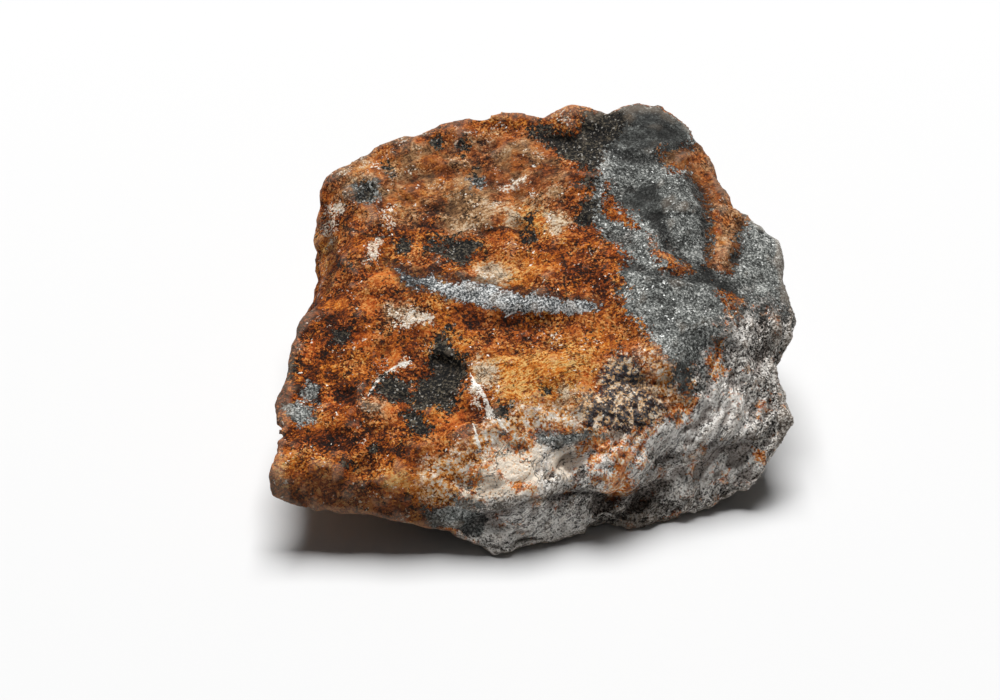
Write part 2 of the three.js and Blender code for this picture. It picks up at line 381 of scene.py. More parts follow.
BLACK_SPOTS = [(-27.5, 35.5, 1.4), (-24, 39.5, 0.8), (-10, 38.5, 0.7), (0.5, 45.5, 1.2),
               (-1.5, 29.5, 0.8), (-21.5, 26.5, 1.2), (-30.5, 23.5, 0.7), (-30.5, 13, 0.9),
               (-13.5, 13.5, 0.8), (-38, 7.5, 0.9), (-25, -4, 0.8), (-29, -6.5, 0.8), (-5.5, 1.5, 1.0),
               (1, 4.5, 0.7), (10.5, 28.5, 0.8)]
VEIN_RIM = [(x, up + 0.5) for x, up in VEIN]
BROKEN_FROM = 9
BROKEN_TO = 17

black_behind = 7 * (lumps(points, 11, seed=5.7) - 0.42)
broken_left = ease(-across, BROKEN_FROM, BROKEN_TO) * (0.2 + 2.2 * np.abs(lumps(points, 1.6, 3, 14.5)))
marks["vein"] = on_all_sides(inside(VEIN) - broken_left - 0.1)
marks["vein_rim"] = on_all_sides(inside(VEIN_RIM) + 0.3)
marks["slate"] = on_all_sides(inside(*SLATE_SPOTS))
marks["black"] = on_all_sides(np.maximum(inside(*BLACK_PATCHES), near(BLACK_SPOTS)), black_behind)
print("shares of the surface:", shares("vein", "slate", "black"))

# %% [markdown]
# ## Quartz, strokes and cracks
# White patches are quartz that shows through the crust. The brightest of it lies in thin strokes, and
# a few dark cracks cross the crust. Strokes and cracks are lines, not outlines: one mark says how far
# from the line a point lies and on which side, and the other keeps the line from going on for ever.

# %% Mark the quartz, the strokes and the cracks
LINE_REACH = 0.7

QUARTZ = [
    [(-26, 4.5), (-25, 6.5), (-23, 8), (-20.5, 9.5), (-19.5, 8.5), (-21, 7.5), (-23, 6.5), (-24.5, 5)],
    [(-10.5, 5.5), (-9.5, 4.5), (-8.5, 2), (-8.5, 0.5), (-9.5, 2), (-10.5, 4)],
    [(-8, -2), (-6.5, -1.6), (-5.6, -2.4), (-5.8, -4.2), (-7.4, -4.6)],
    [(-8.2, -7), (-6.2, -6.4), (-5, -8.2), (-5.8, -10.2), (-7.6, -9.6)],
    [(-1.8, 2), (1, 2.6), (1.6, 0.8), (0, -0.4), (-1.8, 0.2)],
    [(3, 1.2), (6, 1.8), (6.2, 0.2), (4, -0.6)],
    [(-27, 25.5), (-27, 27.5), (-25.5, 28.5), (-23.5, 28.5), (-24.5, 27), (-25.5, 25), (-26.5, 24.5)],
    [(-25.5, 32.5), (-24, 33.5), (-23, 32.5), (-22.5, 30), (-23.5, 29.5), (-25, 30.5)],
    [(-5.2, 36.4), (-3.6, 38), (-1.4, 38.6), (-1, 37.4), (-3.2, 36.4)],
    [(-23, 16.4), (-21.4, 17), (-18.6, 16.4), (-16.2, 16.2), (-16.6, 14.6), (-19.6, 14.4), (-22, 14.6)],
    [(-34.8, 33.8), (-32.4, 34.6), (-30.8, 33.6), (-31.6, 31), (-32.6, 28), (-34, 30.4)],
    [(-2, 1.2), (0.5, 1.8), (2.5, 1.2), (5.5, 0.6), (5.5, -1), (2.5, -0.4), (-1.5, 0.2)],
    [(-29.5, 42.5), (-26.5, 41), (-22, 38.8), (-23.5, 37.8), (-28.5, 39.8)],
]
STROKES = [
    [(-10.4, 6.6), (-9.6, 5), (-8.6, 3.2), (-7.8, 0.8)],
    [(-9.9, 5.4), (-8.9, 3.8), (-8.3, 2.4)],
    [(-9.4, 5.4), (-8.4, 3.6), (-7.8, 1.8)],
    [(-7.8, 2.2), (-6.4, 0.4), (-5, -1.8)],
    [(-10, -1), (-9.7, -2.2), (-9.2, -3.8)],
    [(-25.6, 4.4), (-24.6, 6), (-22.8, 7.6), (-20.2, 8.8)],
]
CRACKS = [
    [(-1.2, 32.4), (-1.6, 30.4), (-1.2, 28.4), (-1.6, 26)],
    [(3.4, 25.2), (4, 23.4), (3.6, 21), (4, 18.4)],
    [(-9.6, 29.2), (-6, 29.8), (-1.6, 29.4)],
    [(-31.5, 30.5), (-26.5, 28.5), (-21, 28.5)],
    [(10.5, 1), (13, -0.5), (15.5, -0.5)],
]

marks["quartz"] = on_all_sides(inside(*QUARTZ))
for name, lines in (("stroke", STROKES), ("crack", CRACKS)):
    to_line = beside(lines)
    marks[name + "_side"] = np.clip(to_line, -MARK_LIMIT, MARK_LIMIT)
    marks[name] = on_all_sides(LINE_REACH - np.abs(to_line))
print("shares of the surface:", shares("quartz", "stroke", "crack"))

# %% [markdown]
# ## Soft changes inside the crust
# Rust isn't one colour: the upper left is tan, fresher parts are ochre or orange, some zones are dark
# rust, and some places are bleached. The dark zone under the step of the vein is painted shade, and the
# one along the left edge is partly painted shade. These are the same kind of mark, used softly.

# %% Mark the tones of the crust
TAN_ZONE = [(-33.5, 39.5), (-22.5, 45.5), (-14, 44.5), (0.5, 45.5), (5, 39), (3.5, 34.5), (-3, 32),
            (-11, 32), (-19, 30.5), (-25, 30.5), (-31, 33), (-32.5, 36)]
OCHRE_ZONES = [
    [(-11, 8), (-9, 9.5), (-6, 10.5), (-1.5, 11), (3, 10.5), (6.5, 10), (9, 8), (8.5, 5.5), (7, 4),
     (4, 3), (0.5, 2.5), (-3, 1.5), (-5, 0.5), (-6.5, 2.5), (-8, 4.5), (-10, 6)],
    [(-11, 23.5), (-8.5, 24.5), (-5, 24), (-3, 22), (-4.5, 21), (-9, 20.5)],
    [(-6, 33.5), (-3, 34.5), (1, 33.5), (3, 30.5), (1.5, 28.5), (-3, 29), (-5.5, 30.5)],
    [(-1, 2), (6, 4), (9, 4.5), (9.5, 3), (7, 1.5), (2.5, 1)],
    [(-39.5, -6), (-35.5, -4.5), (-31, -4.5), (-28, -6), (-25, -7.5), (-16.5, -7), (-13.5, -8.5),
     (-16.5, -9.5), (-25, -9), (-29.5, -6.5), (-35.5, -6.5), (-38.5, -7.5)],
]
# The first zone, under the vein, is painted shade; the second, along the left edge, is dark rust and painted
# shade.
DARK_RUST_AND_SHADE = [
    [(-12, 16.5), (-9, 15.5), (-2, 15.5), (-2, 14.5), (-9, 14), (-12, 14.5)],
    [(-38, 18.5), (-34.5, 19), (-32, 16), (-28.5, 15.5), (-27.5, 12.5), (-30, 10.5), (-33, 7.5), (-36, 3),
     (-39.5, 0), (-41, 6)],
    [(4, 24), (7.5, 23), (10, 21.5), (8.5, 19.5), (5, 20.5)],
    [(-15.5, 34.5), (-11, 35), (-9.5, 33), (-13.5, 30), (-18.5, 28.5), (-21.5, 30), (-19, 32)],
    [(-38, -1), (-28, 0), (-26, -2), (-28.5, -6), (-37, -4.5)],
    [(-26, -2.5), (-21, -2.5), (-18, -4), (-20, -5.5), (-26, -5.5)],
    [(-37, 6), (-32, 7.5), (-27.5, 6), (-26.5, 3), (-31.5, 1.5), (-36, 2.5)],
]
BLEACHED = [
    [(-12, 21.5), (-11, 23), (-7.5, 24.5), (-4.5, 23), (-5.5, 20), (-8.5, 20.5)],
    [(-24.5, 17), (-21.5, 18), (-17.5, 16.5), (-19, 15), (-23, 15)],
    [(-5.5, 38), (-3, 39), (-1, 38), (-4, 36)],
    [(1, 36), (2, 37.5), (4, 36), (2.5, 33.5)],
    [(-27, 3.5), (-25, 4), (-23, 3.5), (-22.5, 1.5), (-26, 1)],
    [(-5.5, 33), (-4, 33.5), (-2.5, 32), (-3.5, 30), (-5, 30)],
    [(1, 32), (3.5, 32.5), (5.5, 30.5), (3, 28.5), (1.5, 29.5)],
    [(-15, 36), (-8, 35.5), (-6, 32), (-9, 29), (-13, 28.5), (-16, 31)],
    [(-10.5, 8), (-9.5, 9.5), (-7.5, 9), (-6, 8), (-6.5, 6.5), (-8, 5), (-9.5, 5.5)],
    [(5.5, 4), (7.5, 4.5), (8.5, 3.5), (8, 2.5), (6.5, 2.5)],
    [(2.5, 4.5), (3.5, 5.5), (5, 4.5), (4.5, 2.5), (3, 2)],
]
ORANGE_SPOTS = [(-35, 10.5, 1.6), (-26, 17.5, 1.3), (-23, 9, 1.8), (-31.5, 3.5, 1.5), (-17, 14, 1.5),
                (-25.5, -12, 1.1), (-23, -11.5, 1.1), (-13, 0.5, 1.8), (-27, 12, 1.5), (-24, 22, 1.6),
                (6.5, 6, 1.4), (-22.5, 2, 1.2)]

marks["tan"] = soft(inside(TAN_ZONE, TAN_ON_GREY), 16, 1.3, 1)
marks["ochre"] = soft(inside(*OCHRE_ZONES), 9, 6.2, -1.5)
marks["dark"] = soft(inside(*DARK_RUST_AND_SHADE), 8, 2.6, -1)
marks["bleached"] = soft(inside(*BLEACHED), 6, 4.9, -2)
marks["orange"] = soft(near(ORANGE_SPOTS), 6, 0.7, -2)
print("shares of the surface:", shares("tan", "ochre", "dark", "bleached", "orange"))

# %% [markdown]
# ## Where the crust breaks up, and charcoal grey
# Above the front, the crust is mixed with what lies under it: black and cream grains side by side in
# one zone, ochre and white ones in another. Low on the left and below the nose the stone is charcoal
# grey, and on the sides that the board doesn't reach it turns charcoal grey towards the bottom.

# %% Mark the broken crust and the charcoal grey
CHARCOAL_LINE = 7

PEPPERED = [
    [(10, 9), (12, 10.5), (13.5, 9.5), (15, 8), (16.5, 6), (18.5, 4.5), (19, 2), (17.5, 0), (16, -1.5),
     (13.5, -2), (11, -1.5), (8.5, -1), (6.5, -0.5), (5, 1.5), (5.5, 3), (7.5, 4), (8.5, 5), (9, 7)],
]
MOTTLED = [
    [(-17, -5), (-14, -5), (-11.5, -3), (-9, -0.5), (-4.5, 2), (0.5, 3), (4, 2.5), (5, 0.5), (5, -0.5),
     (1, -1), (-4.5, -2.5), (-6, -6), (-8.5, -11), (-11, -13), (-16, -13), (-18, -10.5), (-18, -7.5)],
    [(15, 11.5), (17, 11), (19, 9), (20, 6), (20, 3), (18.5, 3), (17, 5.5), (16, 8)],
]
CHARCOAL = [
    [(-41, -7), (-37, -8), (-31, -7), (-28, -8), (-24, -10), (-18, -12), (-13.5, -14.5), (-15, -18),
     (-21.5, -16), (-28.5, -15), (-36, -14), (-42, -12)],
    [(9.5, -12.5), (12.5, -12.5), (15.5, -11), (18.5, -9.5), (19, -13.5), (15, -18), (9.5, -18)],
]

marks["pepper"] = soft(inside(*PEPPERED), 10, 7.9, -1)
marks["mottled"] = soft(inside(*MOTTLED), 8, 6.6, -2)
charcoal_behind = 0.35 * (CHARCOAL_LINE - height) + 3 * lumps(points, 12, seed=4.4)
marks["charcoal"] = on_all_sides(inside(*CHARCOAL), charcoal_behind)
print("shares of the surface:", shares("pepper", "mottled", "charcoal"))

# %% [markdown]
# ## Tones of the rock and the ore
# The bare rock is cream where it is bleached and pale grey where it is fresh; on the front the cream is
# also made brighter, as painted light. Soot, a dark film of fine sulphide, lies on parts of the rock and
# the ore alike, and the same dark tone is painted below the crease and under the nose, as painted shade.

# %% Mark the tones of the rock and the ore
# On the front the cream is made brighter than bleaching alone makes it, as painted light.
CREAM = [
    [(-13, -12), (-11.5, -7.5), (-10, -5), (-7, -2.5), (-3, -1), (-0.5, -2), (0.5, -5), (0, -8),
     (-0.5, -10.5), (-4, -11), (-7.5, -12), (-10.5, -13.5)],
    [(7, -1), (9.5, -0.5), (12.5, -1), (12.5, -2.5), (9.5, -3.5), (7, -2.5)],
    [(1, -4.5), (4, -4), (6.5, -4), (6, -6), (4, -7.5), (1, -8)],
]
PALE_ROCK = [
    [(0, -4.5), (2.5, -4), (7, -3.5), (9.5, -4.5), (9, -7.5), (5, -8.5), (0.5, -9), (-0.5, -7)],
    [(14.5, -1), (19, 1), (22.5, 3), (26, 5), (29.5, 7.5), (32, 7), (34.5, 4), (35, 2), (33, -0.5),
     (29.5, -3), (24, -4), (19.5, -4.5), (16, -6), (14, -8.5), (11.5, -6), (11.5, -2.5)],
    [(-13, -13.5), (-9, -14.5), (-3, -12.5), (5, -11.5), (9, -12), (7.5, -15.5), (0, -18), (-6, -19)],
    [(16.5, -8.5), (22.5, -6), (30, -5), (35, -3), (34.5, -7), (30, -10.5), (24, -13), (18, -14.5)],
]
# Dark soot, except the three zones below the crease and under the nose, which are painted shade.
SOOT_AND_SHADE = [
    [(10, 48.5), (16, 50), (21, 49.5), (24, 46.5), (24.5, 43.5), (20.5, 42), (16, 42), (11.5, 42.5)],
    [(12.5, 35.5), (18, 37), (20.5, 33), (19, 30), (14, 31)],
    [(30, 9), (31, 14), (34, 17), (39, 17), (41, 9), (39, 4), (36.5, 8), (33, 8)],
    [(25.5, 24), (27, 22), (30, 20.5), (32, 18.5), (31, 16), (28.5, 18.5), (26, 20), (24.5, 22)],
    [(18, 9.5), (21, 9), (24, 8), (25, 5), (23.5, 3), (21, 2), (19, 4), (17.5, 7)],
    [(19, 7.5), (21, 8), (22, 6), (23.5, 3), (22.5, 1.5), (20.5, 3), (19.5, 4.5)],
    [(27, 11.5), (30.5, 10.5), (35, 7.5), (38, 3), (38, -1), (36, -3.5), (34, -5), (32, -4), (32.5, -1),
     (32, 2.5), (30, 6), (27.5, 8)],
    [(-24.5, 24.5), (-22, 24), (-17, 23.5), (-17, 19), (-21, 19.5), (-22.5, 21)],
    [(8.5, -11.5), (11, -13), (14.5, -12), (18, -9.5), (20, -8.5), (19, -12), (15, -16), (9.5, -15.5)],
    [(-1.5, -10.5), (2.5, -10), (8, -10.5), (12, -12.5), (15, -15), (10.5, -16), (6.5, -14.5), (2, -13),
     (0, -12)],
    [(34, 7), (39, 6), (41, -2), (39, -8), (34, -11), (32.5, -8.5), (35.5, -3), (34.5, 2)],
    [(9.5, -13.5), (18, -12), (25, -10), (31, -8.5), (30, -13), (20, -17.5), (9.5, -18)],
]

marks["cream"] = soft(inside(*CREAM), 11, 9.6, -1.5)
marks["pale"] = soft(inside(*PALE_ROCK), 13, 3.8, -0.5)
marks["soot_and_shade"] = soft(inside(*SOOT_AND_SHADE), 9, 5.1, -1)
print("shares of the surface:", shares("cream", "pale", "soot_and_shade"))

# %% [markdown]
# ## Relief that can be felt
# The rock is layered, and its broken faces show the layers as small steps and ridges, while the
# crust is lumpy and chipped. A Displace modifier takes only one texture, so the relief is summed in
# an array. It needs two more kinds of noise: tilted chips, and layers with a slight fold.

# %% Relief helpers
LAYER_NORMAL = np.array([-0.45, -0.35, 1.0])
LAYER_NORMAL /= np.linalg.norm(LAYER_NORMAL)
FOLD = 0.01
FOLD_MIDDLE = 3


def chips(places, size, seed):
    """Small broken planes, each tilted its own way; the height is in mm for a slope of 1."""
    heights = []
    for spot in (places / size + seed).tolist():
        centre = noise.voronoi(spot)[1][0]
        tilt = noise.cell_vector(centre) - Vector((0.5, 0.5, 0.5))
        heights.append((Vector(spot) - centre).dot(tilt))
    return np.array(heights) * size * 2


def layers(places, spacing, seed):
    """Noise that is drawn out along the layers, over 8 mm, and changes quickly across them."""
    along = places @ LAYER_NORMAL
    flat = places - np.outer(along, LAYER_NORMAL)
    along = along - FOLD * (places[:, 0] - FOLD_MIDDLE) ** 2
    return lumps(flat / 8 + np.outer(along / spacing, LAYER_NORMAL), 1.0, 3, seed)


# %% [markdown]
# ## Grooves, domes and the crease
# The ore breaks into rounded lobes with a narrow groove between them. A long crease runs along the
# front, with the rock below it set back and a blunt nose of rock above it. Grooves are lines on the
# board, and the domes of the lobes, the nose and the part below the crease are outlines.

# %% List the grooves and the forms
GROOVES = [
    [(18, 31.5), (20, 27.5), (23, 24), (26, 23)],
    [(24, 38.5), (26, 34.5), (26.5, 29.5), (26, 25)],
    [(11.5, 42.5), (16, 41), (20.5, 41.5), (24.5, 43.5)],
    [(13, 24), (17, 22.5), (21.5, 22), (26.5, 22), (30, 20.5)],
    [(31.5, 30.5), (31, 26), (29.5, 22.5)],
    [(-34.5, 34), (-33.5, 30), (-32.5, 26.5), (-32.5, 23.5), (-34, 20)],
    [(-13, -17), (-9, -14.5), (-5.5, -13), (-0.5, -11.5), (5, -10.5), (8.5, -11), (10.5, -12)],
    [(9, -12), (12, -11.5), (14.5, -10), (16.5, -7.5), (20.5, -5.5), (24, -4.5), (28, -4), (31.5, -3)],
]
DOMES = [
    [(16, 34), (18.5, 39), (21, 39.5), (24, 37.5), (25.5, 34.5), (26.5, 29.5), (25.5, 26), (23, 25),
     (20, 26.5), (17, 29.5)],
    [(29.5, 20.5), (31.5, 28), (33.5, 31), (36, 31), (38.5, 28), (39, 24.5), (38.5, 20.5)],
]
NOSE = [(5, -9), (7, -5), (10.5, -2.5), (14.5, -3.5), (17.5, -6), (16, -9), (13, -11.5), (8.5, -12)]
BELOW_CREASE = [(-16.5, -15), (-13, -15.5), (-9.5, -14.5), (-6, -13), (-1, -11.5), (4, -10), (8.5, -10.5),
                (10.5, -12), (13.5, -11), (16, -9), (19, -7), (24, -5.5), (28.5, -4), (34, -2.5),
                (37, -3), (34.5, -9), (27, -13.5), (15, -17), (0, -19.5), (-9, -20.5), (-15, -17.5)]
print("grooves:", len(GROOVES), " domes:", len(DOMES))

# %% [markdown]
# ## Bumps and dents of the outline
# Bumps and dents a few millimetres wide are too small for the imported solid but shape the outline.
# Each is a place on the board, a radius and a height, and is added as a soft bell.

# %% List the bumps and dents
BUMPS = [
    (-39, 1, 3, 0.9), (-39.5, -5, 2.5, 0.5), (-37.5, 17, 3, 0.8), (-35.5, 22, 3, -0.6),
    (-34.5, 35, 2.5, -0.4), (-27.5, 42.5, 4, 0.3), (-13, 47, 4, 0.35), (6.5, 50, 3.5, 0.6),
    (16, 50.3, 4.5, 0.7), (26.7, 43, 2.5, -0.7), (28.5, 38.5, 2, 0.3), (30, 35, 2.5, 0.8),
    (32, 32.5, 2, -0.6), (36, 28.5, 2.5, -0.3), (38.5, 23, 4, 0.9), (36.5, 8.5, 2, 0.9),
    (37.5, 2, 3, 0.4), (37.5, -2, 2.5, 0.9), (36.5, -5, 2.5, 0.4), (33, -9.5, 3, -0.9),
    (27.5, -12, 3, 0.4), (18.5, -15.5, 3.5, 0.5), (7, -16.5, 3.5, 0.5), (0, -18, 3.5, 0.3),
    (-10.5, -18, 3, 0.5), (-22.5, -14.5, 5, -0.25),
]
print("bumps:", sum(bump[-1] > 0 for bump in BUMPS), " dents:", sum(bump[-1] < 0 for bump in BUMPS))

# %% [markdown]
# ## Fine relief
# Lumps and chips roughen the whole stone, and the layers show where a face cuts across them. Each is
# an amount in mm. The ore is smoother than the rest, and the crust stands a little proud of the rock.

# %% Sum the fine relief
CRUST_RISE = 0.14
ORE_SMOOTHER = 0.45
ORE_LESS_LAYERED = 0.8

cuts_layers = ease(1 - np.abs(broad_normals @ LAYER_NORMAL), 0.02, 0.35)
wander = np.column_stack([lumps(points, 6, 2, seed) for seed in (11.0, 12.0, 13.0)])
bent = points + 1.2 * wander
bare = ease(-marks["crust"], -0.5, 0.5)
ore_zone = bare * ease(-marks["bare_rock"], -1.0, 1.0)

relief = 0.22 * lumps(points, 6, 4, 21.0) + 0.08 * lumps(points, 1.6, 3, 22.0)
relief += neighbour_mean(neighbour_mean(0.11 * chips(bent, 5.5, 23.0) + 0.10 * chips(bent, 2.4, 24.0)))
relief *= 1 - ORE_SMOOTHER * ore_zone
relief += (1 - ORE_LESS_LAYERED * ore_zone) * cuts_layers * (
    (0.1 + 0.25 * bare) * np.tanh(4 * layers(bent, 3.2, 25.0))
    + (0.06 + 0.12 * bare) * np.tanh(3 * layers(bent, 1.3, 26.0)))
relief += CRUST_RISE * np.tanh(marks["crust"] / 0.8)
print("fine relief from", round(float(relief.min()), 2), "to", round(float(relief.max()), 2), "mm")

# %% [markdown]
# ## Forms that the camera sees
# The domes, the nose, the crease, the grooves and the bumps are added where the board sees the stone.
# Hollows lie under the black crystals, and the vein stands slightly up. At the end every point moves
# along its normal, and none goes under the table.

# %% Add the forms and sculpt the stone
DOME_RISE = 0.45
NOSE_RISE = 0.9
CREASE_DEPTH = 0.9
BLACK_DEPTH = 0.25
VEIN_RISE = 0.1
GROOVE_WIDTH = 0.8
GROOVE_DEPTH = 0.3
ALL_OVER = 0.05

relief += (DOME_RISE * ease(inside(*DOMES), 0, 3.5) + NOSE_RISE * ease(inside(NOSE), -0.3, 2.2)) * seen
below = inside(BELOW_CREASE) + 0.4 * wander[:, 1]
relief -= CREASE_DEPTH * ease(below, -0.3, 0.8) * (1 - 0.7 * ease(below, 1.5, 5.5)) * seen
relief -= BLACK_DEPTH * ease(marks["black"], -1.0, 1.4) - VEIN_RISE * ease(marks["vein"], -0.3, 0.4)
to_groove = np.abs(beside(GROOVES)) + 0.5 * wander[:, 0]
# The material darkens the grooves by this mark, as painted shade.
marks["groove_shade"] = on_all_sides(1 - to_groove)
relief -= GROOVE_DEPTH * np.exp(-(to_groove / GROOVE_WIDTH) ** 2) * seen + ALL_OVER
for bump_x, bump_y, radius, rise in BUMPS:
    relief += rise * np.exp(-((board - [bump_x, bump_y]) ** 2).sum(1) / radius ** 2)
sculpted = points + normals * relief[:, None]
sculpted[:, 2] = np.maximum(sculpted[:, 2], solid_box[0].z / MM)
write_points(sculpted)
print("relief from", round(float(relief.min()), 2), "to", round(float(relief.max()), 2), "mm")
print("sculpted box in mm:", np.round(sculpted.max(0) - sculpted.min(0), 2))

# %% [markdown]
# ## Hollows and edges
# Hollows are painted darker, as painted shade, and edges that stand out are painted a little paler.
# Cycles has a Pointiness output for that, but it depends on the net and doesn't survive every export. A
# mark of our own is safer: how far a point stands out from a smoothed copy of the stone, once for small
# edges and once for broad ones.

# %% Measure hollows and edges
SMALL_EDGE = 0.16
BROAD_EDGE = 0.7


def standing_out(places, passes):
    """How many mm each point stands out of the stone smoothed that often."""
    smooth = places
    for _ in range(passes):
        smooth = neighbour_mean(smooth)
    return ((places - smooth) * read_normals()).sum(1)


# The material darkens the hollows by this mark, as painted shade, and makes the edges paler.
edges_and_hollows = standing_out(sculpted, 12) / SMALL_EDGE + standing_out(sculpted, 60) / BROAD_EDGE
marks["edge"] = np.clip(edges_and_hollows, -3, 3)
print(f"edge mark: mean {marks['edge'].mean():.3f}, spread {marks['edge'].std():.2f}")

# %% [markdown]
# ## Marks become attributes
# A float attribute on the points is how a material can read a mark: an Attribute node asks for it by
# name, and the value is blended across each triangle.

# %% Store the marks on the mesh
for name, values in marks.items():
    mesh.attributes.new(name, "FLOAT", "POINT").data.foreach_set("value", values.astype(np.float32))
mesh.shade_smooth()
print("attributes:", [a.name for a in mesh.attributes if a.name in marks])

# %% [markdown]
# ## Helpers for nodes
# A material with many layers needs many small nodes. These helpers keep each step on one line: add a
# node, feed a socket with a link or a plain value, calculate with numbers or vectors, sum values by
# weight, spread a range, draw a thin line, and mix two colours.

# %% Node helpers
def add(tree, kind, **settings):
    made = tree.nodes.new("ShaderNode" + kind)
    for name, value in settings.items():
        setattr(made, name, value)
    return made


def feed(tree, socket, value):
    if isinstance(value, bpy.types.NodeSocket):
        tree.links.new(value, socket)
    else:
        socket.default_value = value


def calc(tree, operation, *values):
    made = add(tree, "Math", operation=operation)
    for socket, value in zip(made.inputs, values):
        feed(tree, socket, value)
    return made.outputs[0]


def vector(tree, operation, *values):
    """The same for vectors; SCALE takes a vector and a number."""
    made = add(tree, "VectorMath", operation=operation)
    sockets = [made.inputs[0], made.inputs["Scale"]] if operation == "SCALE" else made.inputs
    for socket, value in zip(sockets, values):
        feed(tree, socket, value)
    return made.outputs["Value" if operation == "DOT_PRODUCT" else "Vector"]


def centred(tree, value):
    """Moves a value from the range 0 to 1 to the range -0.5 to 0.5."""
    return calc(tree, "SUBTRACT", value, 0.5)


def total(tree, start, *parts):
    """The start plus each part times its weight; a part is (value, weight)."""
    for value, weight in parts:
        start = calc(tree, "MULTIPLY_ADD", value, weight, start)
    return start


def spread(tree, value, low, high, start=0.0, end=1.0):
    """An S-curve from start to end as value goes from low to high."""
    made = add(tree, "MapRange", interpolation_type="SMOOTHSTEP")
    for socket, setting in zip(made.inputs, (value, low, high, start, end)):
        feed(tree, socket, setting)
    return made.outputs[0]


def thread(tree, value, width):
    """A thin line wherever the value passes through 0.5."""
    return spread(tree, calc(tree, "ABSOLUTE", centred(tree, value)), 0.0, width, 1.0, 0.0)


def mix(tree, mask, under, over, strength=1.0, how="MIX"):
    """One colour over another, as far as the mask times the strength says."""
    made = add(tree, "Mix", data_type="RGBA", blend_type=how)
    feed(tree, made.inputs["Factor"], mask if strength == 1.0 else calc(tree, "MULTIPLY", mask, strength))
    feed(tree, made.inputs[6], under)
    feed(tree, made.inputs[7], over)
    return made.outputs[2]


# %% [markdown]
# ## Colours and noise
# Colours are written as a paint program shows them, 0 to 255, but a socket wants linear light, so they
# are converted. Noise is asked for by the size of its lumps in mm, and a seed moves it aside, so that
# two noises never show the same lumps.

# %% Helpers for colours and noise
def paint(red, green, blue):
    shares = [c / 255 for c in (red, green, blue)]
    return (*[s / 12.92 if s <= 0.04045 else ((s + 0.055) / 1.055) ** 2.4 for s in shares], 1.0)


def ramp(tree, value, *stops):
    """Colours by value; each stop is (place, red, green, blue)."""
    made = add(tree, "ValToRGB")
    elements = made.color_ramp.elements
    while len(elements) < len(stops):
        elements.new(0.5)
    for element, (place, *colour) in zip(elements, stops):
        element.position = place
        element.color = paint(*colour)
    feed(tree, made.inputs[0], value)
    return made.outputs[0]


def cloud(tree, place, size, detail=4.0, roughness=0.6, seed=0.0):
    """Noise from 0 to 1 with lumps of the given size in mm."""
    made = add(tree, "TexNoise")
    feed(tree, made.inputs["Vector"], vector(tree, "ADD", place, (13.7 * seed, 7.1 * seed, 3.3 * seed)))
    feed(tree, made.inputs["Scale"], 1 / size)
    feed(tree, made.inputs["Detail"], detail)
    feed(tree, made.inputs["Roughness"], roughness)
    return made.outputs[0]


def pushed(tree, place, per_mm, amount):
    """The place, pushed about by noise with so many lumps per mm, so that straight patterns bend."""
    push = add(tree, "TexNoise")
    feed(tree, push.inputs["Vector"], place)
    feed(tree, push.inputs["Scale"], per_mm)
    return vector(tree, "MULTIPLY_ADD", push.outputs["Color"], (amount, amount, amount), place)


# %% [markdown]
# ## Helpers for node groups
# A group is built once and used in several places with other values. Its sockets are made through the
# group's interface, and inside it they appear on two special nodes, Group Input and Group Output.

# %% Helpers for groups
PLACE = ("Place", "Vector", (0.0, 0.0, 0.0))
SURFACE = [("Colour", "Color"), ("Roughness", "Float"), ("Height", "Float")]


def start_group(name, inputs, outputs):
    """A new node group and the sockets inside it; each input is (name, kind, value)."""
    group = bpy.data.node_groups.new(name, "ShaderNodeTree")
    for label, kind, value in inputs:
        socket = group.interface.new_socket(name=label, in_out="INPUT", socket_type="NodeSocket" + kind)
        socket.default_value = value
    for label, kind in outputs:
        group.interface.new_socket(name=label, in_out="OUTPUT", socket_type="NodeSocket" + kind)
    print("group", name, "takes", ", ".join(label for label, *_ in inputs))
    return group, group.nodes.new("NodeGroupInput").outputs, group.nodes.new("NodeGroupOutput").inputs


def amounts(*labels):
    """Inputs that are 0 until something feeds them."""
    return [(label, "Float", 0.0) for label in labels]


def use(tree, group, **values):
    """Places a group in a tree, feeds it, and gives its outputs."""
    made = add(tree, "Group", node_tree=group)
    for label, value in values.items():
        feed(tree, made.inputs[label], value)
    return made.outputs


# %% [markdown]
# ## Mineral grains
# Every mineral here is made of grains a few tenths of a millimetre across. A Voronoi texture splits
# space into such cells, and its Color output is random per cell. The coordinates are pushed about a
# little first, which keeps the cells from looking like neat crystals.

# %% Group: mineral grains
grains, given, out = start_group(
    "mineral_grains", [PLACE, ("Size", "Float", 0.4)], [("Shade", "Float"), ("Other", "Float")])
cells = add(grains, "TexVoronoi")
feed(grains, cells.inputs["Vector"], pushed(grains, given["Place"], 2.2, 0.55))
feed(grains, cells.inputs["Scale"], calc(grains, "DIVIDE", 1.0, given["Size"]))
split = add(grains, "SeparateColor")
feed(grains, split.inputs[0], cells.outputs["Color"])
feed(grains, out["Shade"], split.outputs[0])
feed(grains, out["Other"], split.outputs[1])

# %% [markdown]
# ## Strands
# Parts of the crust have a fine grain like wood, left by the fibrous mineral that rusted away. Plain
# noise becomes strands when its coordinates are scaled less along one direction than across it. The
# helper scales them evenly first and then corrects the share that lies along that direction.

# %% Group: strands
STRAND_DIRECTION = (0.9, 0.3, 0.32)


def drawn_out(tree, place, direction, distance, along_scale, other_scale):
    """The place scaled evenly, but with another scale for the distance along one direction."""
    change = calc(tree, "MULTIPLY", distance, calc(tree, "SUBTRACT", along_scale, other_scale))
    evenly = vector(tree, "SCALE", place, other_scale)
    return vector(tree, "ADD", evenly, vector(tree, "SCALE", direction, change))


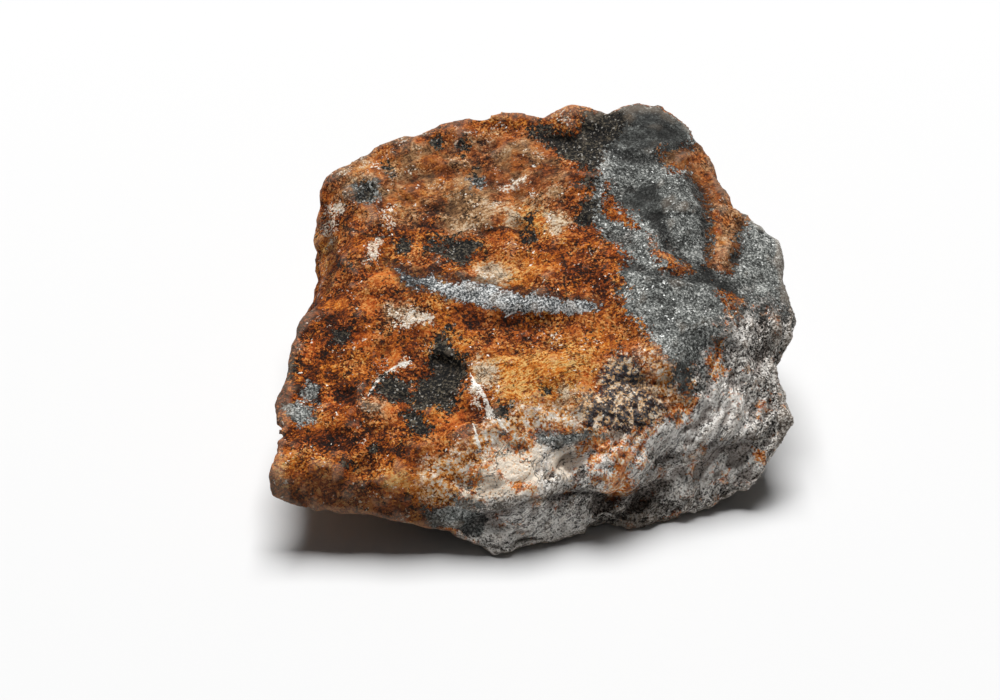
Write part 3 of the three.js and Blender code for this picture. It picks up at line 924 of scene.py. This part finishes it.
strands, given, out = start_group(
    "strands", [PLACE, ("Width", "Float", 0.4), ("Length", "Float", 4.0)], [("Streak", "Float")])
place = pushed(strands, given["Place"], 0.12, 4.0)
distance = vector(strands, "DOT_PRODUCT", place, STRAND_DIRECTION)
stretched = drawn_out(
    strands, place, STRAND_DIRECTION, distance,
    calc(strands, "DIVIDE", 1.0, given["Length"]), calc(strands, "DIVIDE", 1.0, given["Width"]))
feed(strands, out["Streak"], cloud(strands, stretched, 1.0, 3.0, 0.6, 31.0))

# %% [markdown]
# ## Layers of the rock
# The rock was squeezed until its minerals lay in thin sheets, and on a face that cuts them they show as
# long streaks. The sheets are slightly folded, so the distance across them is corrected by a parabola
# before the same helper squashes the coordinates along the sheets.

# %% Group: rock layers
sheets, given, out = start_group(
    "rock_layers", [PLACE, ("Spacing", "Float", 1.0), ("Length", "Float", 6.0)], [("Streak", "Float")])
place = pushed(sheets, given["Place"], 0.16, 3.0)
split = add(sheets, "SeparateXYZ")
feed(sheets, split.inputs[0], place)
off_middle = calc(sheets, "SUBTRACT", split.outputs[0], FOLD_MIDDLE)
fold = calc(sheets, "MULTIPLY", calc(sheets, "MULTIPLY", off_middle, off_middle), FOLD)
straight = vector(sheets, "DOT_PRODUCT", place, tuple(LAYER_NORMAL))
stacked = drawn_out(
    sheets, place, tuple(LAYER_NORMAL), calc(sheets, "SUBTRACT", straight, fold),
    calc(sheets, "DIVIDE", 1.0, given["Spacing"]), calc(sheets, "DIVIDE", 1.0, given["Length"]))
feed(sheets, out["Streak"], cloud(sheets, stacked, 1.0, 4.0, 0.6, 9.0))

# %% [markdown]
# ## Flecks
# Single grains and clusters of a second mineral are irregular, and a cell pattern would give them away.
# Noise cut off at a level makes irregular flecks: the higher Amount is, the lower the level, and the
# more of the surface they cover.

# %% Group: flecks
flecks, given, out = start_group(
    "flecks", [PLACE, ("Size", "Float", 0.6), ("Amount", "Float", 0.3)], [("Mask", "Float")])
scaled = vector(flecks, "SCALE", given["Place"], calc(flecks, "DIVIDE", 1.0, given["Size"]))
level = total(flecks, 0.76, (given["Amount"], -0.48))
above = calc(flecks, "SUBTRACT", cloud(flecks, scaled, 1.0, 3.0, 0.65), level)
feed(flecks, out["Mask"], spread(flecks, above, -0.03, 0.03))


def fleck(tree, place, size, amount, seed):
    """A mask of flecks; the seed moves the pattern, so that two kinds don't coincide."""
    moved = vector(tree, "ADD", place, (5.9 * seed, -8.3 * seed, 4.1 * seed))
    return use(tree, flecks, Place=moved, Size=size, Amount=amount)["Mask"]


# %% [markdown]
# ## A ragged border
# A mark gives a smooth distance to its border, but minerals meet in a ragged line. One noise, added
# to every such distance before it becomes a mask, moves the borders to and fro, down to single grains.

# %% Groups: ragged noise and border
ragged, given, out = start_group("ragged_noise", [PLACE], [("Shift", "Float")])
large = cloud(ragged, given["Place"], 2.4, 6.0, 0.72, 4.0)
fine = cloud(ragged, given["Place"], 0.55, 3.0, 0.7, 5.0)
single = use(ragged, grains, Place=given["Place"], Size=0.4)["Shade"]
feed(ragged, out["Shift"], total(ragged, 0.0, (centred(ragged, fine), 2.0), (centred(ragged, large), 4.5),
                                 (centred(ragged, single), 0.8)))

border, given, out = start_group(
    "ragged_border", amounts("Inside", "Shift") + [("Reach", "Float", 0.8), ("Softness", "Float", 0.15)],
    [("Mask", "Float")])
moved = total(border, given["Inside"], (given["Shift"], given["Reach"]))
feed(border, out["Mask"], spread(
    border, moved, calc(border, "MULTIPLY", given["Softness"], -1.0), given["Softness"]))

# %% [markdown]
# ## Fissures
# Thin dark cracks wander over old rust. Where smooth noise passes through its middle value it draws
# closed lines, and a second, broader noise hides most of each line, so that the cracks fade and end.

# %% Group: fissures
fissures, given, out = start_group("fissures", [PLACE, ("Size", "Float", 3.0)], [("Mask", "Float")])
scaled = vector(fissures, "SCALE", given["Place"], calc(fissures, "DIVIDE", 1.0, given["Size"]))
lines = thread(fissures, cloud(fissures, scaled, 1.0, 5.0, 0.62, 21.0), 0.022)
presence = spread(fissures, cloud(fissures, scaled, 1.6, 2.0, 0.5, 22.0), 0.42, 0.58)
feed(fissures, out["Mask"], calc(fissures, "MULTIPLY", presence, lines))

# %% [markdown]
# ## Rusty crust: light and dark
# The crust is iron rust: deep brown to bright orange, tan where it has bleached, with black and cream
# grains in clumps. One value, summed from coarse and fine noise and pushed by the marks, is to pick
# each colour, so that neighbouring tones follow each other as they do in real rust.

# %% Group: rusty crust, its tone
crust, given, out = start_group(
    "rusty_crust", [PLACE] + amounts(
        "Tan", "Ochre", "Dark", "Orange", "Bleached", "Pepper", "Mottled", "White", "Stroke"), SURFACE)
place = given["Place"]
broad = cloud(crust, place, 5.0, 7.0, 0.66, 1.0)
close = cloud(crust, place, 1.0, 4.0, 0.72, 2.0)
dust = cloud(crust, place, 0.26, 2.0, 0.75, 6.0)
grain = use(crust, grains, Place=place, Size=0.3)
streak = use(crust, strands, Place=place, Width=0.3)["Streak"]
restless = total(
    crust, spread(crust, cloud(crust, place, 6.0, 3.0, 0.6, 9.0), 0.4, 0.6, 0.5, 1.15),
    (given["Tan"], -0.42), (given["Ochre"], -0.12))
shade = total(crust, 0.0, (centred(crust, dust), 0.7), (centred(crust, grain["Shade"]), 0.42))
fibrous = total(crust, 0.4, (given["Ochre"], 0.5))
tone = total(
    crust, 0.0, (close, 0.6), (broad, 0.9), (shade, restless), (centred(crust, streak), fibrous),
    (given["Ochre"], 0.11), (given["Bleached"], 0.1), (given["Orange"], 0.13), (given["Tan"], 0.01),
    (given["Dark"], -0.15))
tone = spread(crust, tone, 0.38, 1.1)

# %% [markdown]
# ## Rusty crust: colours
# The same tone goes through three ramps, for red rust, yellow rust and bleached rust, and masks choose
# between them. Fresh orange spots come from large Voronoi cells, of which about half are used.

# %% Group: rusty crust, its colours
red = ramp(crust, tone, (0.0, 38, 17, 9), (0.28, 102, 45, 16), (0.5, 160, 74, 24), (0.74, 210, 112, 42),
           (1.0, 238, 166, 100))
yellow = ramp(crust, tone, (0.0, 56, 27, 11), (0.28, 144, 68, 18), (0.5, 208, 108, 28),
              (0.74, 242, 150, 52), (1.0, 255, 204, 126))
bleached = ramp(crust, tone, (0.0, 48, 35, 26), (0.28, 106, 76, 52), (0.5, 160, 116, 76),
                (0.74, 208, 162, 114), (1.0, 250, 226, 194))
fresh = ramp(crust, tone, (0.0, 112, 44, 12), (0.55, 222, 104, 28), (1.0, 246, 164, 84))
hue = total(crust, cloud(crust, place, 7.0, 5.0, 0.65, 8.0), (grain["Other"], 0.16))
colour = mix(crust, spread(crust, hue, 0.48, 0.76), red, yellow)
colour = mix(crust, given["Ochre"], colour, yellow)
faded = spread(crust, cloud(crust, place, 3.6, 4.0, 0.65, 36.0), 0.4, 0.6, 0.2, 0.95)
pale = calc(crust, "MAXIMUM", calc(crust, "MULTIPLY", given["Tan"], faded), given["Bleached"])
colour = mix(crust, pale, colour, bleached)

SPOT_SPACING = 4.2
spot = add(crust, "TexVoronoi")
feed(crust, spot.inputs["Vector"], place)
feed(crust, spot.inputs["Scale"], 1 / SPOT_SPACING)
spot_random = calc(crust, "FRACT", calc(crust, "MULTIPLY", spot.outputs["Color"], 7.0))
spot_edge = total(crust, spot.outputs["Distance"], (close, 0.5))
spot_mask = calc(crust, "MULTIPLY", calc(crust, "GREATER_THAN", spot_random, 0.5),
                 spread(crust, spot_edge, 0.36, 0.52, 0.6, 0.0))
spot_mask = calc(crust, "MAXIMUM", spot_mask, calc(crust, "MULTIPLY", given["Orange"], 0.9))
colour = mix(crust, spot_mask, colour, fresh)

# %% [markdown]
# ## Rusty crust: cracks and grains
# Cracks, black grains and the dark lines between strands are laid over the rust, and then one multiply
# darkens all of it. Two zones have no rust colour at all: in the peppered one black and cream grains
# lie side by side, and in the mottled one ochre, cream and white do.

# %% Group: rusty crust, its grains
crack = use(crust, fissures, Place=place, Size=2.6)["Mask"]
colour = mix(crust, crack, colour, paint(34, 20, 14), 0.75)
black_amount = total(
    crust, spread(crust, cloud(crust, place, 2.8, 4.0, 0.65, 3.0), 0.42, 0.68, 0.16, 0.55),
    (given["Dark"], 0.12), (calc(crust, "MAXIMUM", given["Ochre"], given["Tan"]), -0.2))
black_fleck = fleck(crust, place, 0.5, black_amount, 1.0)
colour = mix(crust, black_fleck, colour, paint(26, 22, 20), 0.9)
line = calc(crust, "MULTIPLY", thread(crust, streak, 0.014), given["Ochre"])
colour = mix(crust, line, colour, paint(84, 46, 20))
colour = mix(crust, 1.0, colour, (0.72, 0.72, 0.72, 1.0), how="MULTIPLY")

blotch = cloud(crust, place, 1.2, 5.0, 0.66, 34.0)
mosaic = use(crust, grains, Place=place, Size=0.34)["Shade"]
pick = total(
    crust, 0.5, (centred(crust, mosaic), 0.6), (centred(crust, blotch), 2.4), (given["White"], 0.2))
peppery = ramp(
    crust, pick, (0.0, 18, 21, 24), (0.3, 50, 56, 62), (0.46, 98, 104, 108), (0.56, 150, 120, 92),
    (0.66, 228, 176, 118), (0.8, 244, 218, 182), (1.0, 252, 240, 224))
warm = ramp(
    crust, pick, (0.0, 58, 36, 24), (0.22, 146, 80, 34), (0.34, 214, 124, 42), (0.46, 238, 172, 94),
    (0.6, 242, 210, 168), (0.76, 246, 228, 204), (1.0, 255, 250, 240))
scattered = calc(crust, "MAXIMUM", given["Pepper"], calc(crust, "MULTIPLY", given["Mottled"], 0.9))
colour = mix(crust, scattered, colour, mix(crust, given["Mottled"], peppery, warm), 0.92)

# %% [markdown]
# ## Rusty crust: white parts
# Quartz shows as clumps of cream flecks and as the drawn strokes, and a few grains sparkle: they are
# painted near white, as painted highlights, and are less rough. They come last, so that nothing
# darkens them. The height that leaves the group makes cracks and black flecks lie lower than the rest.

# %% Group: rusty crust, its white parts and its outputs
cream_amount = total(
    crust, spread(crust, cloud(crust, place, 3.4, 4.0, 0.65, 7.0), 0.45, 0.72, 0.0, 0.5),
    (given["Bleached"], 0.12), (given["Dark"], -0.16), (given["White"], 0.45))
cream_fleck = calc(crust, "MULTIPLY", fleck(crust, place, 0.4, cream_amount, 2.0), 0.9)
cream_fleck = calc(crust, "MAXIMUM", cream_fleck, given["Stroke"])
whiteness = total(crust, 0.0, (grain["Shade"], 0.5), (close, 0.8), (given["Stroke"], 0.3))
colour = mix(crust, cream_fleck, colour, ramp(
    crust, whiteness, (0.3, 196, 154, 112), (0.62, 240, 222, 198), (0.85, 255, 250, 240)))
# The sparkling grains are painted near white, as painted highlights.
bunched = spread(crust, cloud(crust, place, 2.2, 3.0, 0.6, 33.0), 0.5, 0.72, 0.0, 0.06)
sparkle = spread(crust, calc(crust, "ADD", bunched, grain["Other"]), 1.005, 1.03)
feed(crust, out["Colour"], mix(crust, sparkle, colour, paint(255, 248, 236)))
feed(crust, out["Roughness"], total(crust, spread(crust, close, 0.3, 0.7, 0.62, 0.9), (sparkle, -0.3)))
feed(crust, out["Height"], total(
    crust, 0.0, (close, 0.42), (broad, 0.5), (shade, 0.18), (crack, -0.12), (cream_fleck, 0.05),
    (black_fleck, -0.07)))
print("nodes in the crust:", len(crust.nodes))

# %% [markdown]
# ## Grey ore
# Fresh copper sulphide is a dull lead grey. Seen close it is a mosaic of dark and pale grains, and a
# few of them glint. The glint is a low roughness and a little metal on single grains, so it moves
# with the light as real facets do, and the same grains are painted nearly white, as painted
# highlights. Blue chooses the brighter tone of the vein and a few more glints. Near the crust the ore
# is dusted paler and glints a little more often.

# %% Group: grey ore
GLINT_FROM = 0.978

ore, given, out = start_group(
    "grey_ore", [PLACE] + amounts("Sooty", "Blue", "Dusted"), SURFACE + [("Glint", "Float")])
place = given["Place"]
broad = cloud(ore, place, 6.0, 5.0, 0.6, 11.0)
blotch = cloud(ore, place, 1.5, 3.0, 0.6, 12.0)
dust = cloud(ore, place, 0.3, 3.0, 0.75, 13.0)
grain = use(ore, grains, Place=place, Size=0.25)
dust_weight = total(ore, 0.26, (given["Sooty"], -0.12), (given["Blue"], 0.2))
grain_weight = total(ore, 0.32, (given["Sooty"], -0.14))
tone = total(
    ore, 0.0, (blotch, 0.5), (broad, 0.5), (centred(ore, spread(ore, dust, 0.36, 0.64)), dust_weight),
    (centred(ore, grain["Shade"]), grain_weight), (given["Dusted"], 0.03), (given["Sooty"], -0.15))
tone = spread(ore, tone, 0.08, 0.93)
neutral = ramp(ore, tone, (0.0, 20, 20, 19), (0.28, 58, 59, 57), (0.52, 98, 100, 97), (0.78, 150, 152, 148),
               (1.0, 222, 222, 216))
bluish = ramp(ore, tone, (0.0, 24, 25, 26), (0.28, 70, 73, 75), (0.52, 120, 123, 123),
              (0.78, 184, 185, 184), (1.0, 250, 250, 248))
colour = mix(ore, given["Blue"], neutral, bluish)
chance = total(ore, grain["Other"], (given["Blue"], 0.05), (given["Dusted"], 0.02), (given["Sooty"], -0.03))
glint = calc(ore, "GREATER_THAN", chance, GLINT_FROM)
# The glinting grains are painted nearly white, as painted highlights.
feed(ore, out["Colour"], mix(ore, glint, colour, paint(216, 217, 214), 0.75))
feed(ore, out["Roughness"], total(ore, 0.72, (glint, -0.3)))
feed(ore, out["Height"], total(ore, 0.0, (blotch, 0.2), (broad, 0.3), (dust, 0.12), (grain["Shade"], 0.05)))
feed(ore, out["Glint"], glint)

# %% [markdown]
# ## Bare rock: sheets and specks
# The rock that holds the ore is a pale, striped gneiss: grey sheets with dark partings between them and
# black specks of mica, and cream where it is bleached; the cream on the front is brighter, as painted
# light. Wide and thin sheets, patches, dust and grains are summed to one tone, as for the crust.

# %% Group: bare rock, its own colours
rock, given, out = start_group(
    "bare_rock", [PLACE] + amounts("Cream", "Pale", "Sooty", "Near", "Stained"), SURFACE)
place = given["Place"]
wide = use(rock, sheets, Place=place, Spacing=2.2, Length=10.0)["Streak"]
thin = use(rock, sheets, Place=place, Spacing=0.5, Length=1.8)["Streak"]
patchy = cloud(rock, place, 0.9, 4.0, 0.68, 16.0)
dust = cloud(rock, place, 0.3, 3.0, 0.75, 14.0)
grain = use(rock, grains, Place=place, Size=0.24)
shade = centred(rock, grain["Shade"])
# Cream lifts the tone, partly as painted light on the front; soot and painted shade lower it.
tone = total(
    rock, 0.0, (thin, 0.3), (wide, 0.3), (patchy, 0.4), (spread(rock, dust, 0.36, 0.64), 0.28),
    (shade, 0.72), (given["Sooty"], -0.2), (given["Pale"], 0.16), (given["Cream"], 0.34))
tone = spread(rock, tone, 0.08, 0.95)
grey = ramp(rock, tone, (0.0, 32, 30, 28), (0.25, 120, 115, 109), (0.5, 184, 178, 170),
            (0.75, 222, 216, 208), (1.0, 252, 248, 242))
cream = ramp(rock, tone, (0.0, 96, 66, 44), (0.25, 186, 138, 98), (0.5, 234, 190, 148),
             (0.75, 248, 216, 182), (1.0, 255, 240, 220))
colour = mix(rock, given["Cream"], grey, cream)
speck_amount = total(
    rock, spread(rock, cloud(rock, place, 2.2, 4.0, 0.6, 15.0), 0.42, 0.68, 0.16, 0.46),
    (centred(rock, thin), -1.2), (given["Cream"], -0.14))
speck = fleck(rock, place, 0.3, speck_amount, 4.0)
colour = mix(rock, speck, colour, paint(26, 25, 25), 0.9)
parting = calc(rock, "MULTIPLY", spread(rock, dust, 0.35, 0.5), thread(rock, wide, 0.02))
colour = mix(rock, parting, colour, paint(30, 27, 25), 0.75)

# %% [markdown]
# ## Bare rock: rust that soaks in
# Rain carries rust from the crust into the rock. Noise decides where it soaks in, more easily near the
# crust and in the stained places, and a noise of its own gives it dark, orange and pale parts.

# %% Group: bare rock, its stains and its outputs
soak = total(rock, cloud(rock, place, 3.0, 6.0, 0.75, 17.0), (given["Near"], 0.15),
             (given["Stained"], 0.19), (grain["Other"], 0.06))
blotch = cloud(rock, place, 1.2, 3.0, 0.6, 35.0)
rusted = ramp(
    rock, total(rock, 0.55, (shade, 0.5), (centred(rock, blotch), 2.2)), (0.0, 44, 24, 12),
    (0.26, 142, 66, 18), (0.48, 220, 114, 32), (0.68, 236, 164, 82), (0.82, 246, 216, 176),
    (1.0, 255, 248, 236))
feed(rock, out["Colour"], mix(rock, spread(rock, soak, 0.6, 0.7), colour, rusted, 0.95))
feed(rock, out["Roughness"], spread(rock, thin, 0.3, 0.7, 0.7, 0.9))
feed(rock, out["Height"], total(
    rock, 0.0, (thin, 0.4), (wide, 0.8), (patchy, 0.35), (dust, 0.18), (grain["Shade"], 0.05),
    (parting, -0.15), (speck, -0.1)))
print("nodes in the rock:", len(rock.nodes))

# %% [markdown]
# ## Black crystals
# The black patches are velvety with crystals too small to make out, apart from those that flash.
# Those are painted pale, as painted highlights, and are less rough.

# %% Group: black crystals
black, given, out = start_group("black_crystals", [PLACE], SURFACE)
grain = use(black, grains, Place=given["Place"], Size=0.26)
close = cloud(black, given["Place"], 0.7, 4.0, 0.7, 19.0)
colour = ramp(black, total(black, close, (grain["Shade"], 0.5)), (0.0, 4, 3, 2), (0.56, 8, 7, 6),
              (0.78, 22, 20, 17), (1.0, 94, 86, 72))
glint = calc(black, "GREATER_THAN", grain["Other"], 0.96)
# The flashing crystals are painted pale, as painted highlights.
feed(black, out["Colour"], mix(black, glint, colour, paint(160, 156, 148), 0.8))
feed(black, out["Roughness"], total(black, 0.65, (glint, -0.25)))
feed(black, out["Height"], total(black, 0.0, (grain["Shade"], 0.1), (close, 0.3)))

# %% [markdown]
# ## One mineral over another
# The same mix is needed for every border: colour, roughness and height of the upper mineral where
# its mask is 1, and of the lower one elsewhere.

# %% Group: one over another
LOWER = " A"
UPPER = " B"

over, given, out = start_group(
    "one_over_another",
    amounts("Mask") + [(part + layer, kind, (1, 1, 1, 1) if kind == "Color" else 0.5)
                       for layer in (LOWER, UPPER) for part, kind in SURFACE], SURFACE)
feed(over, out["Colour"], mix(over, given["Mask"], given["Colour" + LOWER], given["Colour" + UPPER]))
for part in ("Roughness", "Height"):
    step = calc(over, "SUBTRACT", given[part + UPPER], given[part + LOWER])
    feed(over, out[part], total(over, given[part + LOWER], (step, given["Mask"])))


def lay(tree, mask, under, upper):
    """The upper mineral over the lower one; each is a set of outputs by name."""
    looks = {part + LOWER: under[part] for part, _ in SURFACE}
    looks.update({part + UPPER: upper[part] for part, _ in SURFACE})
    return use(tree, over, Mask=mask, **looks)


# %% [markdown]
# ## The material and its masks
# The marks are read by Attribute nodes. The place is Texture Coordinate's Object output, scaled to mm,
# so that every size below is a real one. All borders share one ragged noise.

# %% Start the material
material = bpy.data.materials.new("weathered_ore")
material.use_nodes = True
tree = material.node_tree
shader = tree.nodes["Principled BSDF"]
place = vector(tree, "SCALE", add(tree, "TexCoord").outputs["Object"], 1 / MM)
shift = use(tree, ragged, Place=place)["Shift"]


def mark(name):
    return add(tree, "Attribute", attribute_name=name).outputs["Fac"]


def bordered(name, reach, softness=0.12):
    """The mask of a mark: reach is how far its border wanders, softness how wide it fades."""
    return use(tree, border, Inside=mark(name), Shift=shift, Reach=reach, Softness=softness)["Mask"]


def drawn(name, width):
    """A thin drawn line, a little ragged and broken."""
    off_line = calc(tree, "ABSOLUTE", total(tree, mark(name + "_side"), (shift, 0.16)))
    beyond = calc(tree, "SUBTRACT", off_line, total(tree, width, (shift, 0.26)))
    close_by = calc(tree, "GREATER_THAN", mark(name), 0.0)
    return calc(tree, "MULTIPLY", close_by, spread(tree, beyond, -0.05, 0.07, 1.0, 0.0))


# Soot, and painted shade below the crease and under the nose.
soot_and_shade = bordered("soot_and_shade", 1.5, 1.2)
crust_mask = bordered("crust", 1.7, 0.15)
vein_mask = bordered("vein", 0.8, 0.2)
black_mask = bordered("black", 1.5, 0.2)
print("nodes for the masks:", len(tree.nodes))

# %% [markdown]
# ## The minerals over each other
# Now the minerals are laid over each other in the order in which they formed: ore, bare rock, crust,
# vein, black crystals. The rock reaches a little way under the crust, because through the holes in the
# ragged edge of the crust one sees rock.

# %% Lay the minerals
crust_look = use(
    tree, crust, Place=place, Tan=bordered("tan", 2.0, 2.5), Ochre=bordered("ochre", 1.6, 1.4),
    Dark=bordered("dark", 1.8, 1.6), Orange=bordered("orange", 0.9, 0.9),
    Bleached=bordered("bleached", 1.1, 0.9), Pepper=bordered("pepper", 1.4, 0.5),
    Mottled=bordered("mottled", 1.6, 1.2), White=bordered("quartz", 0.9, 0.7), Stroke=drawn("stroke", 0.2))
# Pale dust near the crust, which also makes the painted glints of the ore more frequent there.
dust_and_glints = calc(tree, "MULTIPLY", spread(tree, mark("crust"), -3.0, -0.2), 0.8)
ore_look = use(tree, ore, Place=place, Sooty=soot_and_shade, Blue=vein_mask, Dusted=dust_and_glints)
rock_look = use(
    tree, rock, Place=place, Cream=bordered("cream", 2.0, 1.4), Pale=bordered("pale", 1.6, 1.4),
    Sooty=soot_and_shade, Near=spread(tree, mark("crust"), -4.0, 0.0), Stained=bordered("stain", 1.5, 0.6))

under_crust = total(tree, mark("bare_rock"), (spread(tree, mark("crust"), -1.5, 0.0), 3.0))
rock_mask = use(tree, border, Inside=under_crust, Shift=shift, Reach=3.2, Softness=1.4)["Mask"]
look = lay(tree, rock_mask, ore_look, rock_look)
look = lay(tree, crust_mask, look, crust_look)
look = lay(tree, calc(tree, "MAXIMUM", vein_mask, bordered("slate", 1.0, 0.3)), look, ore_look)
look = lay(tree, black_mask, look, use(tree, black, Place=place))
print("nodes with the minerals:", len(tree.nodes))

# %% [markdown]
# ## Charcoal, cracks, painted shade and pale edges
# Some things belong to no mineral: the charcoal underside on the left, a dark rim along the vein, the
# cracks, and painted shade in grooves and hollows. They are laid over all minerals alike. Edges that
# stand out are a little paler. One Bump node turns the summed height into a normal.

# %% Finish the material
colour = look["Colour"]
undersides = mix(tree, 0.5, paint(78, 70, 60), colour, how="OVERLAY")
colour = mix(tree, bordered("charcoal", 1.8, 1.2), colour, undersides, 0.6)
vein_rim = calc(tree, "SUBTRACT", bordered("vein_rim", 0.6, 0.3), vein_mask)
colour = mix(tree, vein_rim, colour, paint(40, 32, 28), 0.65)
colour = mix(tree, drawn("crack", 0.16), colour, paint(30, 22, 18), 0.8)
# Painted shade: the grooves are darkened.
darkened = mix(tree, 1.0, colour, paint(64, 58, 55), how="MULTIPLY")
colour = mix(tree, bordered("groove_shade", 0.6, 0.5), colour, darkened, 0.6)
edge = mark("edge")
# Painted shade: hollows are darkened. Edges that stand out are made paler.
darkened = mix(tree, 1.0, colour, paint(120, 100, 90), how="MULTIPLY")
colour = mix(tree, spread(tree, edge, -0.3, -2.2, 0.0, 0.6), colour, darkened)
colour = mix(tree, spread(tree, edge, 0.8, 2.6, 0.0, 0.2), colour, paint(190, 170, 150))
feed(tree, shader.inputs["Base Color"], colour)
feed(tree, shader.inputs["Roughness"], look["Roughness"])
bump = add(tree, "Bump")
feed(tree, bump.inputs["Distance"], MM)
feed(tree, bump.inputs["Height"], look["Height"])
feed(tree, shader.inputs["Normal"], bump.outputs[0])
open_ore = calc(tree, "SUBTRACT", 1.0, calc(tree, "MAXIMUM", crust_mask, black_mask))
glints = calc(tree, "MULTIPLY", ore_look["Glint"], open_ore)
feed(tree, shader.inputs["Metallic"], calc(tree, "MULTIPLY", glints, 0.4))
feed(tree, shader.inputs["Specular IOR Level"], 0.14)
mesh.materials.clear()
mesh.materials.append(material)
print("nodes in the material:", len(tree.nodes))

# %% [markdown]
# ## A map for baking
# Baking the nodes to images needs a UV map. Blender can unwrap a stone by itself, but on such rough
# ground it cuts thousands of small islands. Every point of this stone can be seen from its middle, so
# the six sides of a cube round that middle map it in six large pieces.

# %% Make the map
CORE = np.array([0.05, -0.3, 16.4])
SPAN = 2.16

corner_points = np.zeros(len(mesh.loops), np.int32)
mesh.loops.foreach_get("vertex_index", corner_points)
corner_faces = np.repeat(np.arange(len(mesh.polygons)), [len(p.vertices) for p in mesh.polygons])
centres = np.zeros(len(mesh.polygons) * 3)
mesh.polygons.foreach_get("center", centres)
rays = centres.reshape(-1, 3) / MM - CORE
axis = np.abs(rays).argmax(1)
side = axis + 3 * (rays[np.arange(len(rays)), axis] < 0)
spokes = sculpted[corner_points] - CORE
corner_side = side[corner_faces]
rows = np.arange(len(spokes))
main = np.abs(spokes[rows, corner_side % 3])
u = spokes[rows, (corner_side + 1) % 3] / main
v = spokes[rows, (corner_side + 2) % 3] / main
flat = np.column_stack([(corner_side % 3 + 0.5 + u / SPAN) / 3, (corner_side // 3 + 0.5 + v / SPAN) / 2])
unwrapped = mesh.uv_layers.new(name="OFBake")
unwrapped.data.foreach_set("uv", np.clip(flat, 0, 1).ravel())
print("map reaches from", flat.min(0).round(3), "to", flat.max(0).round(3))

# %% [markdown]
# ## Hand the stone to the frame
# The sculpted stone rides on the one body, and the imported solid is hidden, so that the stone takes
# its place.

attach(stone, "root")
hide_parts("ore_stone")

# %% [markdown]
# ## Floor and light
# The stone lies on a plain white surface under one very large soft light that hangs above and behind
# it, so the shadow falls forwards and is black only under the overhang. The white surface throws light
# back on the front.

# %% Make the floor
FLOOR_REACH = 4.0
FLOOR_GREY = 0.66

floor_data = bpy.data.meshes.new("floor")
corners = [(x * FLOOR_REACH, y * FLOOR_REACH, 0) for x, y in ((-1, -1), (1, -1), (1, 1), (-1, 1))]
floor_data.from_pydata(corners, [], [(0, 1, 2, 3)])
floor = bpy.data.objects.new("floor", floor_data)
bpy.context.scene.collection.objects.link(floor)
floor_material = bpy.data.materials.new("white_table")
floor_material.use_nodes = True
floor_shader = floor_material.node_tree.nodes["Principled BSDF"]
floor_shader.inputs["Base Color"].default_value = (FLOOR_GREY, FLOOR_GREY, FLOOR_GREY, 1.0)
floor_shader.inputs["Roughness"].default_value = 0.9
floor_shader.inputs["Specular IOR Level"].default_value = 0.1
floor_data.materials.append(floor_material)
floor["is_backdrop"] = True
print("floor", 2 * FLOOR_REACH, "m wide")

# %% [markdown]
# ## World and lamp
# The world's strength is high only for rays that come straight from the camera, so the background is
# white but sends little light on the stone. One rectangular area lamp gives nearly all the light.

# %% Make the world and the lamp
WORLD_LIGHT = 0.06
WORLD_SEEN = 0.92
LAMP_SIZE = (3.6, 4.2)
LAMP_PLACE = (0.0, 2.5, 6.0)
LAMP_POWER = 740

world = bpy.data.worlds.new("studio")
bpy.context.scene.world = world
world.use_nodes = True
background = world.node_tree.nodes["Background"]
background.inputs["Color"].default_value = (1.0, 1.0, 1.0, 1.0)
from_camera = add(world.node_tree, "LightPath").outputs["Is Camera Ray"]
feed(world.node_tree, background.inputs["Strength"], total(
    world.node_tree, WORLD_LIGHT, (from_camera, WORLD_SEEN)))

lamp_data = bpy.data.lights.new("softbox", "AREA")
lamp_data.shape = "RECTANGLE"
lamp_data.size, lamp_data.size_y = LAMP_SIZE
lamp_data.energy = LAMP_POWER
lamp = bpy.data.objects.new("softbox", lamp_data)
lamp.location = LAMP_PLACE
bpy.context.scene.collection.objects.link(lamp)
bpy.context.scene.view_settings.view_transform = "Standard"
print("lamp:", LAMP_POWER, "W,", LAMP_SIZE, "m")

# %% [markdown]
# ## Measure and finish
# The box of the sculpted stone is printed beside the box of the imported solid, so that the two can be
# compared.

# %% Measure and finish
sizes = {"cad": [list(corner) for corner in solid_box], "visual": [list(corner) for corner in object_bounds()]}
for name, (low, high) in sizes.items():
    print(name, "box in mm:", [round((b - a) / MM, 2) for a, b in zip(low, high)])
